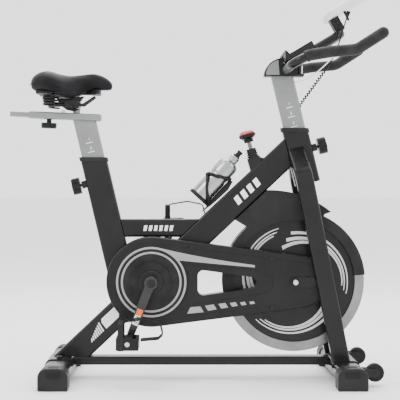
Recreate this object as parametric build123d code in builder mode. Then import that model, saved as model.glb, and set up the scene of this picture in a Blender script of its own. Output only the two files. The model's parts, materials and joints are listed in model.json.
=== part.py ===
"""Indoor spin bike: belt-driven flywheel, adjustable saddle and handlebar.

Millimetres, +Z up.  +X is the front of the bike and -Y its right-hand side, where the belt
drive sits.  The origin is on the floor, under the middle of the bike.
"""
import os
from math import atan2, cos, degrees, hypot, pi, radians, sin, sqrt, tan

from build123d import *

os.makedirs("parts", exist_ok=True)

# ---- driving dimensions -------------------------------------------------------------------
GAP = 0.3                     # play between pieces that move past each other
SNUG = 0.05                   # play of a running fit, on the radius

# frame tubes: width is in the bike's plane, depth is along Y
TUBE_DEPTH = 40
WALL = 2.5
TUBE_CORNER = 7
MAIN_WIDTH = 73
MAIN_LOW = (-345, 67)         # centre line of the diagonal, as (x, z)
MAIN_HIGH = (271, 647)
SEAT_WIDTH = 74
SEAT_TOP = (-290, 635)
SEAT_LEAN = 13.3              # degrees from upright, leaning back
CROSS_Z = (405, 457)
HEAD_WIDTH = 73
HEAD_TOP = (294.7, 708)
HEAD_LEAN = 13.5
HEAD_LENGTH = 152
SEAT_MOUTH, HEAD_MOUTH = 631.5, 716      # heights of the tubes' level mouths
MOUTH_OVER = 30               # how far a tube is drawn past its centre before its mouth is cut
POST_WIDTH, POST_DEPTH, POST_CORNER = 64, 30, 6
BAR_POST_WIDTH = 62
COLLAR_HIGH, COLLAR_SKIRT, COLLAR_WALL = 4, 8, 3

# feet
FLOOR_GAP = 17                # underside of the stabilizer tubes
STAB_WIDTH, STAB_HEIGHT, STAB_ROUND = 74, 41, 17
REAR_X, FRONT_X = -383, 427
STAB_HALF = 232               # half length of the tubes, without the caps
CAP_HALF, CAP_INSIDE = 250, 188
CAP_WIDTH, CAP_HEIGHT = 82, 61
PLATE = 3.5
PLATE_TOP = FLOOR_GAP + STAB_HEIGHT + PLATE
REAR_PLATE_HALF, FRONT_PLATE_HALF = 75, 109
BASE_DEPTH, BASE_HEIGHT = 50, 24.5
WHEEL_X, WHEEL_Z, WHEEL_Y, WHEEL_R, WHEEL_WIDE = 498.7, 37.8, 159, 25, 24

# fork
LEG_Y, LEG_THICK, LEG_WIDTH = 90, 30, 49
LEG_MID = (332.9, 471.3)      # a point of the legs' centre line
LEG_SLOPE = -0.1995           # change of x for each mm up

# drive
CRANK = (-121, 280)
CRANK_LENGTH = 170
CRANK_DIR = (-0.367, -0.930)  # the right arm at rest
WHEEL_AXIS = (288, 280)
RIM_R, RIM_INNER, RIM_HALF = 203, 175, 22
BIG_PULLEY, SMALL_PULLEY = 90, 28
BELT_Y = (-62, -48)
BELT_THICK = 3
GUARD_OUT, GUARD_SPLIT, GUARD_IN = -74.5, -53, -32
GUARD_R_REAR, GUARD_R_FRONT = 128, 74
GUARD_NOSE = (304, 280)       # centre of the guard's round front end
SHELL = 3
SPINDLE_R, AXLE_R = 10, 7.5
BB_HALF = 31.5
ARM_IN, ARM_OUT = 101, 118    # distance of the crank arms' faces from the middle
PEDAL_IN, PEDAL_OUT = 124, 222
PEDAL_LONG, PEDAL_HIGH = 62, 32


# ---- helpers ------------------------------------------------------------------------------
def at_y(y):
    """The plane across the bike at y: local x is +X, local y is +Z, extruding goes to -Y."""
    return Plane.XZ.offset(-y)


def along(start, direction, y=0):
    """A plane at a point of the bike's middle, facing along a direction in that middle.

    Local x lies in the bike's plane and local y along the Y axis.
    """
    side = (direction[1], 0, -direction[0])
    return Plane(origin=(start[0], y, start[1]), x_dir=side, z_dir=(direction[0], 0, direction[1]))


def leaning(lean):
    """The unit direction down a tube that leans back by an angle in degrees."""
    return (sin(radians(lean)), -cos(radians(lean)))


def moved(point, direction, distance):
    """A point of the (x, z) plane carried along a direction."""
    return (point[0] + direction[0] * distance, point[1] + direction[1] * distance)


def box_tube(plane, length, width, depth, corner, wall=0):
    """Adds a rounded rectangular tube, or a bar where there is no wall."""
    with BuildSketch(plane) as section:
        RectangleRounded(width, depth, corner)
        if wall:
            RectangleRounded(width - 2 * wall, depth - 2 * wall, corner - wall, mode=Mode.SUBTRACT)
    extrude(section.sketch, amount=length)


def rod(plane, radius, length, mode=Mode.ADD):
    """Adds or cuts a round bar that starts on a plane."""
    with BuildSketch(plane) as section:
        Circle(radius)
    extrude(section.sketch, amount=length, mode=mode)


def save(piece, name):
    """Names a finished piece and writes it."""
    piece.part.label = name
    export_step(piece.part, f"parts/{name}.step")


# directions and planes that several pieces share
main_span = (MAIN_HIGH[0] - MAIN_LOW[0], MAIN_HIGH[1] - MAIN_LOW[1])
main_run = hypot(*main_span)
MAIN_DIR = (main_span[0] / main_run, main_span[1] / main_run)
MAIN_UP = (-MAIN_DIR[1], MAIN_DIR[0])
SEAT_DOWN = leaning(SEAT_LEAN)
SEAT_BACK = (SEAT_DOWN[1], -SEAT_DOWN[0])
HEAD_DOWN = leaning(HEAD_LEAN)
HEAD_FRONT = (-HEAD_DOWN[1], HEAD_DOWN[0])
main_top = moved(MAIN_LOW, MAIN_UP, MAIN_WIDTH / 2)
main_under = moved(MAIN_LOW, MAIN_UP, -MAIN_WIDTH / 2)
main_top_plane = Plane(origin=(main_top[0], 0, main_top[1]), z_dir=(MAIN_UP[0], 0, MAIN_UP[1]))
head_rear = moved(HEAD_TOP, HEAD_FRONT, -HEAD_WIDTH / 2)
head_rear_plane = Plane(origin=(head_rear[0], 0, head_rear[1]), z_dir=(HEAD_FRONT[0], 0, HEAD_FRONT[1]))
seat_front = moved(SEAT_TOP, SEAT_BACK, -SEAT_WIDTH / 2)
seat_front_plane = Plane(origin=(seat_front[0], 0, seat_front[1]), z_dir=(-SEAT_BACK[0], 0, -SEAT_BACK[1]))

# ---- frame --------------------------------------------------------------------------------
BRAKE_CROSS = (191, 572)      # where the brake's rod crosses the diagonal's centre line
BRAKE_LEAN = 15.7
BRAKE_UP = (-sin(radians(BRAKE_LEAN)), cos(radians(BRAKE_LEAN)))
BRACKET_LONG, BRACKET_WIDE, BRACKET_DEEP = 66, 38, 34
ROD_R, ROD_HOLE = 6, 8
BB_OUTER, BB_BORE = 22, 18.02
OVERRUN = 80                  # how far a tube is drawn past its joint before it is cut

with BuildPart() as main_tube:
    start = moved(MAIN_LOW, MAIN_DIR, -OVERRUN)
    box_tube(along(start, MAIN_DIR), main_run + 2 * OVERRUN, MAIN_WIDTH, TUBE_DEPTH, TUBE_CORNER)
    box_tube(along(BRAKE_CROSS, BRAKE_UP), BRACKET_LONG, BRACKET_WIDE, BRACKET_DEEP, 5)
    with BuildSketch(along(start, MAIN_DIR)):
        RectangleRounded(MAIN_WIDTH - 2 * WALL, TUBE_DEPTH - 2 * WALL, TUBE_CORNER - WALL)
    extrude(amount=main_run + 2 * OVERRUN, mode=Mode.SUBTRACT)
    rod(along(moved(BRAKE_CROSS, BRAKE_UP, -OVERRUN), BRAKE_UP), ROD_HOLE, 2 * OVERRUN, Mode.SUBTRACT)
    with BuildSketch(at_y(TUBE_DEPTH)):
        with Locations(CRANK):
            Circle(BB_OUTER)
    extrude(amount=2 * TUBE_DEPTH, mode=Mode.SUBTRACT)
    split(bisect_by=Plane.XY.offset(PLATE_TOP), keep=Keep.TOP)
    split(bisect_by=head_rear_plane, keep=Keep.BOTTOM)
save(main_tube, "main_tube")

# the locking pins' welded bosses stand off the seat tube and the head tube
PIN_BOSS_R, PIN_BOSS_OUT = 11, 14
PIN_R = 4
SEAT_PIN = 70                 # distance of each pin below the top of its tube
HEAD_PIN = 55.5
SEAT_RUN = 470


def tube_with_boss(top, mouth, down, width, length, pin, outward):
    """A box tube with a level mouth, and a hollow boss for a locking pin on one narrow face."""
    start = along(moved(top, down, -MOUTH_OVER), down)
    box_tube(start, length + MOUTH_OVER, width, TUBE_DEPTH, TUBE_CORNER)
    boss = along(moved(top, down, pin), outward)
    rod(boss, PIN_BOSS_R, width / 2 + PIN_BOSS_OUT)
    with BuildSketch(start) as section:
        RectangleRounded(width - 2 * WALL, TUBE_DEPTH - 2 * WALL, TUBE_CORNER - WALL)
    extrude(section.sketch, amount=length + MOUTH_OVER, mode=Mode.SUBTRACT)
    rod(boss, PIN_R + GAP, width, Mode.SUBTRACT)
    split(bisect_by=Plane.XY.offset(mouth), keep=Keep.BOTTOM)


with BuildPart() as seat_tube:
    tube_with_boss(SEAT_TOP, SEAT_MOUTH, SEAT_DOWN, SEAT_WIDTH, SEAT_RUN, SEAT_PIN, SEAT_BACK)
    split(bisect_by=main_top_plane, keep=Keep.TOP)
save(seat_tube, "seat_tube")

with BuildPart() as head_tube:
    tube_with_boss(HEAD_TOP, HEAD_MOUTH, HEAD_DOWN, HEAD_WIDTH, HEAD_LENGTH, HEAD_PIN, HEAD_FRONT)
save(head_tube, "head_tube")

with BuildPart() as cross_tube:
    middle = (CROSS_Z[0] + CROSS_Z[1]) / 2
    box_tube(along((-300, middle), (1, 0)), 420, CROSS_Z[1] - CROSS_Z[0], TUBE_DEPTH, TUBE_CORNER, WALL)
    split(bisect_by=seat_front_plane, keep=Keep.TOP)
    split(bisect_by=main_top_plane, keep=Keep.TOP)
save(cross_tube, "cross_tube")

with BuildPart() as bottom_bracket_shell:
    rod(Plane.XZ.offset(-BB_HALF).shift_origin((CRANK[0], BB_HALF, CRANK[1])), BB_OUTER, 2 * BB_HALF)
    rod(Plane.XZ.offset(-BB_HALF).shift_origin((CRANK[0], BB_HALF, CRANK[1])), BB_BORE, 2 * BB_HALF,
        Mode.SUBTRACT)
save(bottom_bracket_shell, "bottom_bracket_shell")


def stabilizer_outline(width, top, bottom, round_top, round_low):
    """The section of a stabilizer, seen along Y, about x = 0."""
    with BuildLine() as outline:
        half = width / 2
        Line((-half + round_low, bottom), (half - round_low, bottom))
        RadiusArc((half - round_low, bottom), (half, bottom + round_low), -round_low)
        Line((half, bottom + round_low), (half, top - round_top))
        RadiusArc((half, top - round_top), (half - round_top, top), -round_top)
        Line((half - round_top, top), (-half + round_top, top))
        RadiusArc((-half + round_top, top), (-half, top - round_top), -round_top)
        Line((-half, top - round_top), (-half, bottom + round_low))
        RadiusArc((-half, bottom + round_low), (-half + round_low, bottom), -round_low)
    make_face(outline.edges())


BOLT_R, BOLT_HEAD_R, BOLT_HEAD = 4, 8, 6
REAR_BOLT_Y, FRONT_BOLT_Y = 55, 48
bolt_places = [(REAR_X, s * REAR_BOLT_Y) for s in (-1, 1)] + [(FRONT_X, s * FRONT_BOLT_Y) for s in (-1, 1)]
STAB_TOP = FLOOR_GAP + STAB_HEIGHT


def stabilizer_tube(x):
    """The hollow rounded tube of one foot, with the holes for its two bolts."""
    shifted = Plane(origin=(x, STAB_HALF, 0), x_dir=(1, 0, 0), z_dir=(0, -1, 0))
    with BuildSketch(shifted) as section:
        stabilizer_outline(STAB_WIDTH, STAB_TOP, FLOOR_GAP, STAB_ROUND, 8)
        with BuildSketch(mode=Mode.PRIVATE) as hollow:
            stabilizer_outline(STAB_WIDTH - 2 * WALL, STAB_TOP - WALL, FLOOR_GAP + WALL, STAB_ROUND - WALL,
                               8 - WALL)
        add(hollow.sketch, mode=Mode.SUBTRACT)
    extrude(section.sketch, amount=2 * STAB_HALF)
    for place in bolt_places:
        if place[0] == x:
            rod(Plane(origin=(*place, STAB_TOP - 10)), BOLT_R + GAP / 2, 12, Mode.SUBTRACT)


with BuildPart() as rear_stabilizer:
    stabilizer_tube(REAR_X)
save(rear_stabilizer, "rear_stabilizer")

LUG, LUG_HIGH, WHEEL_PIN = 4, 24, 4
LUG_OFF = WHEEL_WIDE / 2 + 1.5       # from the wheel's middle to a lug's inner face
with BuildPart() as front_stabilizer:
    stabilizer_tube(FRONT_X)
    for side in (-1, 1):
        for lug in (-1, 1):
            outer_y = side * WHEEL_Y + lug * (LUG_OFF + LUG / 2) + LUG / 2
            with BuildSketch(at_y(outer_y)):
                with Locations((WHEEL_X, WHEEL_Z)):
                    Circle(LUG_HIGH / 2)
                with Locations(((FRONT_X + STAB_WIDTH / 2 + WHEEL_X) / 2 - 0.5, WHEEL_Z)):
                    Rectangle(WHEEL_X - FRONT_X - STAB_WIDTH / 2 + 1, LUG_HIGH)
            extrude(amount=LUG)
        pin = Plane(origin=(WHEEL_X, side * WHEEL_Y + LUG_OFF + LUG + 2, WHEEL_Z), x_dir=(1, 0, 0),
                    z_dir=(0, -1, 0))
        rod(pin, WHEEL_PIN, 2 * (LUG_OFF + LUG + 2))
save(front_stabilizer, "front_stabilizer")

# the floor caps: a shoe over each tube end, with a recess on its outer face and grip ribs on top
RECESS_LONG, RECESS_HIGH, RECESS_DEEP, RECESS_AT = 40, 17, 2, 0.62
RIB_COUNT, RIB_STEP, RIB_DEEP = 5, 7, 1.5


def floor_cap(x, side):
    """One shoe, outwards from CAP_INSIDE on the given side."""
    inner, outer = side * CAP_INSIDE, side * CAP_HALF
    with BuildSketch(Plane(origin=(x, max(inner, outer), 0), x_dir=(1, 0, 0), z_dir=(0, -1, 0))) as section:
        stabilizer_outline(CAP_WIDTH, CAP_HEIGHT, 0, 24, 5)
    extrude(section.sketch, amount=CAP_HALF - CAP_INSIDE)
    end_face = faces().sort_by(Axis.Y)[0 if side < 0 else -1]
    chamfer(end_face.edges(), 2.5)
    mouth = max(side * (CAP_INSIDE - 1), side * (STAB_HALF + GAP))
    with BuildSketch(Plane(origin=(x, mouth, 0), x_dir=(1, 0, 0), z_dir=(0, -1, 0))) as section:
        stabilizer_outline(STAB_WIDTH + GAP, STAB_TOP + GAP / 2, FLOOR_GAP - GAP / 2, STAB_ROUND, 8)
    extrude(section.sketch, amount=STAB_HALF + GAP - CAP_INSIDE + 1, mode=Mode.SUBTRACT)
    with BuildSketch(Plane(origin=(x, outer, 0), x_dir=(side, 0, 0), z_dir=(0, side, 0))) as section:
        with Locations((0, CAP_HEIGHT * RECESS_AT)):
            RectangleRounded(RECESS_LONG, RECESS_HIGH, 3)
    extrude(section.sketch, amount=-RECESS_DEEP, mode=Mode.SUBTRACT)
    for rib in range(RIB_COUNT):
        with BuildSketch(Plane(origin=(x, outer - side * (14 + RIB_STEP * rib), CAP_HEIGHT))) as section:
            SlotOverall(30, 3, rotation=12 * side)
        extrude(section.sketch, amount=-RIB_DEEP, mode=Mode.SUBTRACT)


with BuildPart() as stabilizer_caps:
    caps = []
    for foot_x in (REAR_X, FRONT_X):
        for cap_side in (-1, 1):
            with BuildPart(mode=Mode.PRIVATE) as cap:
                floor_cap(foot_x, cap_side)
            caps.append(cap.part)
    add(caps)
save(stabilizer_caps, "stabilizer_caps")


def plate_outline(x, lift):
    """The outside of the saddle plate over a stabilizer, or its inside where lift is 0."""
    with Locations((x, 0)):
        with BuildSketch(mode=Mode.PRIVATE) as outline:
            stabilizer_outline(STAB_WIDTH + 2 * lift, STAB_TOP + lift, FLOOR_GAP - lift, STAB_ROUND + lift, 8)
        add(outline.sketch)


with BuildPart() as base_tube:
    rear_end, front_end = REAR_X + STAB_WIDTH / 2, FRONT_X - STAB_WIDTH / 2
    box_tube(along((rear_end, PLATE_TOP - BASE_HEIGHT / 2), (1, 0)), front_end - rear_end, BASE_HEIGHT,
             BASE_DEPTH, 5, WALL)
    for plate_x, plate_half in ((REAR_X, REAR_PLATE_HALF), (FRONT_X, FRONT_PLATE_HALF)):
        with BuildSketch(at_y(plate_half)):
            plate_outline(plate_x, PLATE)
            with Locations((plate_x, 0)):
                Rectangle(2 * STAB_WIDTH, 2 * (STAB_TOP - STAB_ROUND), mode=Mode.SUBTRACT)
            with BuildSketch(mode=Mode.PRIVATE) as tube_outline:
                plate_outline(plate_x, 0)
            add(tube_outline.sketch, mode=Mode.SUBTRACT)
        extrude(amount=2 * plate_half)
    for place in bolt_places:
        rod(Plane(origin=(*place, STAB_TOP - 1)), BOLT_R + GAP / 2, PLATE + 2, Mode.SUBTRACT)
save(base_tube, "base_tube")

# ---- fork ---------------------------------------------------------------------------------
LEG_FOOT_Z, LEG_BEND_Z, LEG_TOP_Z = 48, 578, 656
DROP_LONG, DROP_HIGH, DROP_THICK = 76, 28, 5


def leg_x(z):
    """The legs' centre line at a height."""
    return LEG_MID[0] + LEG_SLOPE * (z - LEG_MID[1])


def leg_path(side):
    """Up the straight leg, then inwards to the head tube."""
    return FilletPolyline((leg_x(LEG_FOOT_Z), side * LEG_Y, LEG_FOOT_Z),
                          (leg_x(LEG_BEND_Z), side * LEG_Y, LEG_BEND_Z),
                          (leg_x(LEG_TOP_Z), side * 6, LEG_TOP_Z), radius=50)


def fork_leg(side):
    """One hollow leg with its welded dropout plate."""
    with BuildLine() as path:
        leg_path(side)
    foot = Plane(origin=path.line @ 0, x_dir=(0, 1, 0), z_dir=path.line % 0)
    with BuildSketch(foot) as section:
        RectangleRounded(LEG_THICK, LEG_WIDTH, 6)
    sweep(section.sketch, path=path.line)
    inner = side * (LEG_Y - LEG_THICK / 2)
    with BuildSketch(at_y(max(inner, inner + side * DROP_THICK))) as section:
        with Locations((WHEEL_AXIS[0] - DROP_HIGH / 2 - 2 + DROP_LONG / 2, WHEEL_AXIS[1])):
            SlotOverall(DROP_LONG, DROP_HIGH)
    extrude(section.sketch, amount=DROP_THICK)
    with BuildSketch(foot) as section:
        RectangleRounded(LEG_THICK - 2 * WALL, LEG_WIDTH - 2 * WALL, 6 - WALL)
    sweep(section.sketch, path=path.line, mode=Mode.SUBTRACT)
    with BuildSketch(at_y(LEG_Y + LEG_THICK)) as section:
        with Locations(WHEEL_AXIS):
            Circle(AXLE_R + SNUG)
    extrude(section.sketch, amount=2 * (LEG_Y + LEG_THICK), mode=Mode.SUBTRACT)
    # coped over the front saddle plate and against the sides of the head tube
    with BuildSketch(at_y(LEG_Y + LEG_THICK)) as section:
        plate_outline(FRONT_X, PLATE)
    extrude(section.sketch, amount=2 * (LEG_Y + LEG_THICK), mode=Mode.SUBTRACT)
    with BuildSketch(at_y(TUBE_DEPTH / 2)) as section:
        with Locations((HEAD_TOP[0], LEG_TOP_Z)):
            Rectangle(200, 300)
    extrude(section.sketch, amount=TUBE_DEPTH, mode=Mode.SUBTRACT)


with BuildPart() as fork_legs:
    legs = []
    for leg_side in (-1, 1):
        with BuildPart(mode=Mode.PRIVATE) as leg:
            fork_leg(leg_side)
        legs.append(leg.part.solids().sort_by(SortBy.VOLUME)[-1])
    add(legs)
save(fork_legs, "fork_legs")

# ---- collars ----------------------------------------------------------------
def tube_collar(top, mouth, down, width, post_width):
    """A moulded cap on a tube's level mouth, which guides the post."""
    start = along(moved(top, down, -MOUTH_OVER), down)
    with BuildSketch(start) as section:
        RectangleRounded(width + 2 * COLLAR_WALL, TUBE_DEPTH + 2 * COLLAR_WALL, TUBE_CORNER + COLLAR_WALL)
    extrude(section.sketch, amount=2 * MOUTH_OVER)
    split(bisect_by=Plane.XY.offset(mouth + COLLAR_HIGH), keep=Keep.BOTTOM)
    split(bisect_by=Plane.XY.offset(mouth - COLLAR_SKIRT), keep=Keep.TOP)
    with BuildPart(mode=Mode.PRIVATE) as tube_end:
        with BuildSketch(start):
            RectangleRounded(width, TUBE_DEPTH, TUBE_CORNER)
        extrude(amount=2 * MOUTH_OVER)
        split(bisect_by=Plane.XY.offset(mouth), keep=Keep.BOTTOM)
    add(tube_end.part, mode=Mode.SUBTRACT)
    with BuildSketch(start) as section:
        RectangleRounded(post_width + 2 * GAP, POST_DEPTH + 2 * GAP, POST_CORNER)
    extrude(section.sketch, amount=2 * MOUTH_OVER, mode=Mode.SUBTRACT)


with BuildPart() as tube_collars:
    tube_collar(SEAT_TOP, SEAT_MOUTH, SEAT_DOWN, SEAT_WIDTH, POST_WIDTH)
    with BuildPart(mode=Mode.PRIVATE) as head_collar:
        tube_collar(HEAD_TOP, HEAD_MOUTH, HEAD_DOWN, HEAD_WIDTH, BAR_POST_WIDTH)
    add(head_collar.part)
save(tube_collars, "tube_collars")

# ---- belt guard ---------------------------------------------------------------------------
BAND, BAND_STEP = 19, 2       # the guard's lowered edge band
EDGE_ROUND = 5
WINDOW = (11, 178)            # the see-through opening between the belt's two runs
WINDOW_REAR_HALF, WINDOW_FRONT_R, WINDOW_CORNER = 38, 17, 16


def belt_loop(rear_r, front_r, front_at=WHEEL_AXIS):
    """A closed loop round the crank and a front centre: two arcs and their outer tangents."""
    span = front_at[0] - CRANK[0]
    tilt = degrees(atan2(rear_r - front_r, sqrt(span ** 2 - (rear_r - front_r) ** 2)))
    with BuildLine() as outline:
        rear = CenterArc(CRANK, rear_r, 90 - tilt, 180 + 2 * tilt)
        front = CenterArc(front_at, front_r, -90 + tilt, 180 - 2 * tilt)
        Line(rear @ 0, front @ 1)
        Line(rear @ 1, front @ 0)
    make_face(outline.edges())


def guard_window(grow=0):
    """The window: tall and square at the rear, round and low at the front."""
    low_x, high_x = WINDOW[0] - grow, WINDOW[1] + grow
    half, nose = WINDOW_REAR_HALF + grow, WINDOW_FRONT_R + grow
    mid = CRANK[1] - 2
    with BuildSketch(mode=Mode.PRIVATE) as window:
        with BuildLine():
            Polyline((high_x - nose, mid + nose), (low_x, mid + half), (low_x, mid - half),
                     (high_x - nose, mid - nose))
            ThreePointArc((high_x - nose, mid - nose), (high_x, mid), (high_x - nose, mid + nose))
        make_face()
        fillet(window.vertices().group_by(Axis.X)[0], WINDOW_CORNER)
    return window.sketch


def guard_half(outer_y, inner_y, face_inner):
    """One moulded half, open towards the other; face_inner is the side that its wall closes."""
    depth = outer_y - inner_y
    with BuildSketch(at_y(outer_y)) as section:
        belt_loop(GUARD_R_REAR, GUARD_R_FRONT, GUARD_NOSE)
    extrude(section.sketch, amount=depth)
    wall_edges = faces().sort_by(Axis.Y)[-1 if face_inner else 0].edges()
    fillet(wall_edges, 2 if face_inner else EDGE_ROUND)
    cavity_y = outer_y - SHELL if face_inner else outer_y
    with BuildSketch(at_y(cavity_y)) as section:
        belt_loop(GUARD_R_REAR - SHELL, GUARD_R_FRONT - SHELL, GUARD_NOSE)
    extrude(section.sketch, amount=depth - SHELL, mode=Mode.SUBTRACT)
    with BuildSketch(at_y(outer_y)) as section:
        add(guard_window(SHELL))
    extrude(section.sketch, amount=depth)
    with BuildSketch(at_y(outer_y)) as section:
        add(guard_window())
    extrude(section.sketch, amount=depth, mode=Mode.SUBTRACT)


def drill(places, radius, y, depth, mode=Mode.SUBTRACT):
    """Round holes or bars across the bike at (x, z) places, from y towards -Y."""
    with BuildSketch(at_y(y)) as section:
        with Locations(*places):
            Circle(radius)
    extrude(section.sketch, amount=depth, mode=mode)


guard_screw_places = [(-6, 379), (-211.5, 197), (220.5, 345.6), (221.3, 207.2)]
drop_screw_places = [(324, 289.5), (335, 270.5)]
SCREW_R, SCREW_HEAD_R, SCREW_HEAD = 2.5, 5, 2.5
panel_y = GUARD_OUT + BAND_STEP
HUB_CLEAR, DUST_HOLE = 24, 30

with BuildPart() as guard_outer:
    guard_half(GUARD_SPLIT - GAP / 2, panel_y, False)
    # the raised panel inside the edge band
    with BuildSketch(at_y(panel_y)):
        belt_loop(GUARD_R_REAR - BAND, GUARD_R_FRONT - BAND, GUARD_NOSE)
        add(guard_window(), mode=Mode.SUBTRACT)
    extrude(amount=BAND_STEP)
    drill([CRANK], DUST_HOLE, -60, 20)
    drill([WHEEL_AXIS], AXLE_R + GAP, -60, 20)
    drill(guard_screw_places, SCREW_R + 0.1, -60, 20)
save(guard_outer, "guard_outer")

with BuildPart() as guard_inner:
    guard_half(GUARD_IN, GUARD_SPLIT + GAP / 2, True)
    drill([CRANK], BB_OUTER, -25, 20)
    drill([WHEEL_AXIS], HUB_CLEAR, -25, 20)
save(guard_inner, "guard_inner")

# bright trim on the panel: two rings about the crank, a swoosh, and six slanted flashes
TRIM = 1.5
TRIM_RINGS = ((80.3, 86.1), (94, 99.8))
SWOOSH = ((-103, 378.2), (-30, 361.8), (172.7, 328.2), (172.7, 321.6), (31.5, 334.5), (-48, 342))
FIRST_FLASH = ((-19, 190.5), (-9.5, 209), (18.5, 211), (28, 195))
FLASHES = ((48.2, 207.9, 24.6, 14.1), (83.4, 213.2, 19.6, 13), (113.3, 216.9, 16.3, 10.6),
           (140, 219.3, 13.5, 8.7), (165, 221.7, 12.6, 6.9))      # middle, width, height
FLASH_LEAN, FLASH_RISE = 0.6, 0.16


def slanted(mid_x, mid_z, wide, high):
    """A flash's corners: its foot leads its head, and its front end is the higher."""
    lean, rise = FLASH_LEAN * high / 2, FLASH_RISE * wide / 2
    return [(mid_x + end * wide / 2 - level * lean, mid_z + level * high / 2 + end * rise)
            for end, level in ((-1, -1), (-1, 1), (1, 1), (1, -1))]


with BuildPart() as guard_trim:
    for inner_r, outer_r in TRIM_RINGS:
        with BuildSketch(at_y(GUARD_OUT)):
            with Locations(CRANK):
                Circle(outer_r)
                Circle(inner_r, mode=Mode.SUBTRACT)
        extrude(amount=TRIM)
    with BuildSketch(at_y(GUARD_OUT)):
        with BuildLine():
            Spline(*SWOOSH[:3])
            Line(SWOOSH[2], SWOOSH[3])
            Spline(*SWOOSH[3:])
            Line(SWOOSH[5], SWOOSH[0])
        make_face()
        with Locations(CRANK):
            Circle(TRIM_RINGS[1][1] - 1, mode=Mode.SUBTRACT)
    extrude(amount=TRIM)
    for corners in (FIRST_FLASH, *(slanted(*flash) for flash in FLASHES)):
        with BuildSketch(at_y(GUARD_OUT)):
            with BuildLine():
                Polyline(*corners, close=True)
            make_face()
        extrude(amount=TRIM)
    drill(guard_screw_places, SCREW_HEAD_R + GAP, GUARD_OUT, 5)
save(guard_trim, "guard_trim")

with BuildPart() as steel_fasteners:
    drill(guard_screw_places, SCREW_R, GUARD_OUT + SHELL + 8, 8 + SHELL, Mode.ADD)
    drill(guard_screw_places, SCREW_HEAD_R, GUARD_OUT, SCREW_HEAD, Mode.ADD)
    leg_inner = LEG_Y - LEG_THICK / 2
    drill(drop_screw_places, SCREW_HEAD_R - 1.5, -leg_inner - DROP_THICK, SCREW_HEAD, Mode.ADD)
    for nut_y in (-leg_inner - DROP_THICK, leg_inner + DROP_THICK + 8):
        with BuildSketch(at_y(nut_y)):
            with Locations(WHEEL_AXIS):
                RegularPolygon(12, 6)
                Circle(AXLE_R, mode=Mode.SUBTRACT)
        extrude(amount=8)
save(steel_fasteners, "steel_fasteners")

with BuildPart() as flywheel_axle:
    drill([WHEEL_AXIS], AXLE_R, leg_inner + DROP_THICK + 12, 2 * (leg_inner + DROP_THICK + 12), Mode.ADD)
    chamfer(edges().filter_by(GeomType.CIRCLE), 1)
save(flywheel_axle, "flywheel_axle")

# ---- drive --------------------------------------------------------------------------------
BEARING_WIDE = 11
BB_BEARING_R, HUB_BEARING_R = 18, 16
HUB_HALF, HUB_R = 26, 30
HUB_BEARING_FAR = 22          # outer face of a hub bearing, from the middle
with BuildPart() as bearings:
    for far in (BB_HALF - 1, -(BB_HALF - 1) + BEARING_WIDE):
        drill([CRANK], BB_BEARING_R, far, BEARING_WIDE, Mode.ADD)
        drill([CRANK], SPINDLE_R + SNUG, far, BEARING_WIDE)
    for far in (HUB_BEARING_FAR, -HUB_BEARING_FAR + BEARING_WIDE):
        drill([WHEEL_AXIS], HUB_BEARING_R, far, BEARING_WIDE, Mode.ADD)
        drill([WHEEL_AXIS], AXLE_R, far, BEARING_WIDE)
save(bearings, "bearings")

with BuildPart() as flywheel_rim:
    drill([WHEEL_AXIS], RIM_R, RIM_HALF, 2 * RIM_HALF, Mode.ADD)
    drill([WHEEL_AXIS], RIM_INNER, RIM_HALF, 2 * RIM_HALF)
    chamfer(edges().filter_by(GeomType.CIRCLE), 1.5)
save(flywheel_rim, "flywheel_rim")

WEB_HALF, WEB_SKIN = 18, 3
with BuildPart() as flywheel_web:
    drill([WHEEL_AXIS], HUB_R, HUB_HALF, 2 * HUB_HALF, Mode.ADD)
    for skin_y in (WEB_HALF, WEB_SKIN / 2, -WEB_HALF + WEB_SKIN):
        drill([WHEEL_AXIS], RIM_INNER, skin_y, WEB_SKIN, Mode.ADD)
    drill([WHEEL_AXIS], HUB_BEARING_R + SNUG, HUB_HALF, 2 * HUB_HALF)
save(flywheel_web, "flywheel_web")

with BuildPart() as flywheel_pulley:
    drill([WHEEL_AXIS], SMALL_PULLEY, BELT_Y[1], BELT_Y[1] - BELT_Y[0], Mode.ADD)
    drill([WHEEL_AXIS], HUB_CLEAR - 4, -HUB_HALF, -HUB_HALF - BELT_Y[1], Mode.ADD)
    drill([WHEEL_AXIS], AXLE_R + 0.5, 0, 80)
save(flywheel_pulley, "flywheel_pulley")

SPOKE_HOLES, SPOKE_HOLE_R, SPOKE_HOLE_AT = 6, 19, 57
with BuildPart() as crank_pulley:
    drill([CRANK], BIG_PULLEY, BELT_Y[1], BELT_Y[1] - BELT_Y[0], Mode.ADD)
    drill([CRANK], SPINDLE_R, 0, 80)
    with BuildSketch(at_y(0)):
        with Locations(CRANK):
            with PolarLocations(SPOKE_HOLE_AT, SPOKE_HOLES):
                Circle(SPOKE_HOLE_R)
    extrude(amount=80, mode=Mode.SUBTRACT)
save(crank_pulley, "crank_pulley")

with BuildPart() as drive_belt:
    with BuildSketch(at_y(BELT_Y[1])):
        belt_loop(BIG_PULLEY + GAP + BELT_THICK, SMALL_PULLEY + GAP + BELT_THICK)
        with BuildSketch(mode=Mode.PRIVATE) as belt_inside:
            belt_loop(BIG_PULLEY + GAP, SMALL_PULLEY + GAP)
        add(belt_inside.sketch, mode=Mode.SUBTRACT)
    extrude(amount=BELT_Y[1] - BELT_Y[0])
save(drive_belt, "drive_belt")

with BuildPart() as crank_spindle:
    drill([CRANK], SPINDLE_R, ARM_OUT - 6, 2 * ARM_OUT - 12, Mode.ADD)
save(crank_spindle, "crank_spindle")

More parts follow.
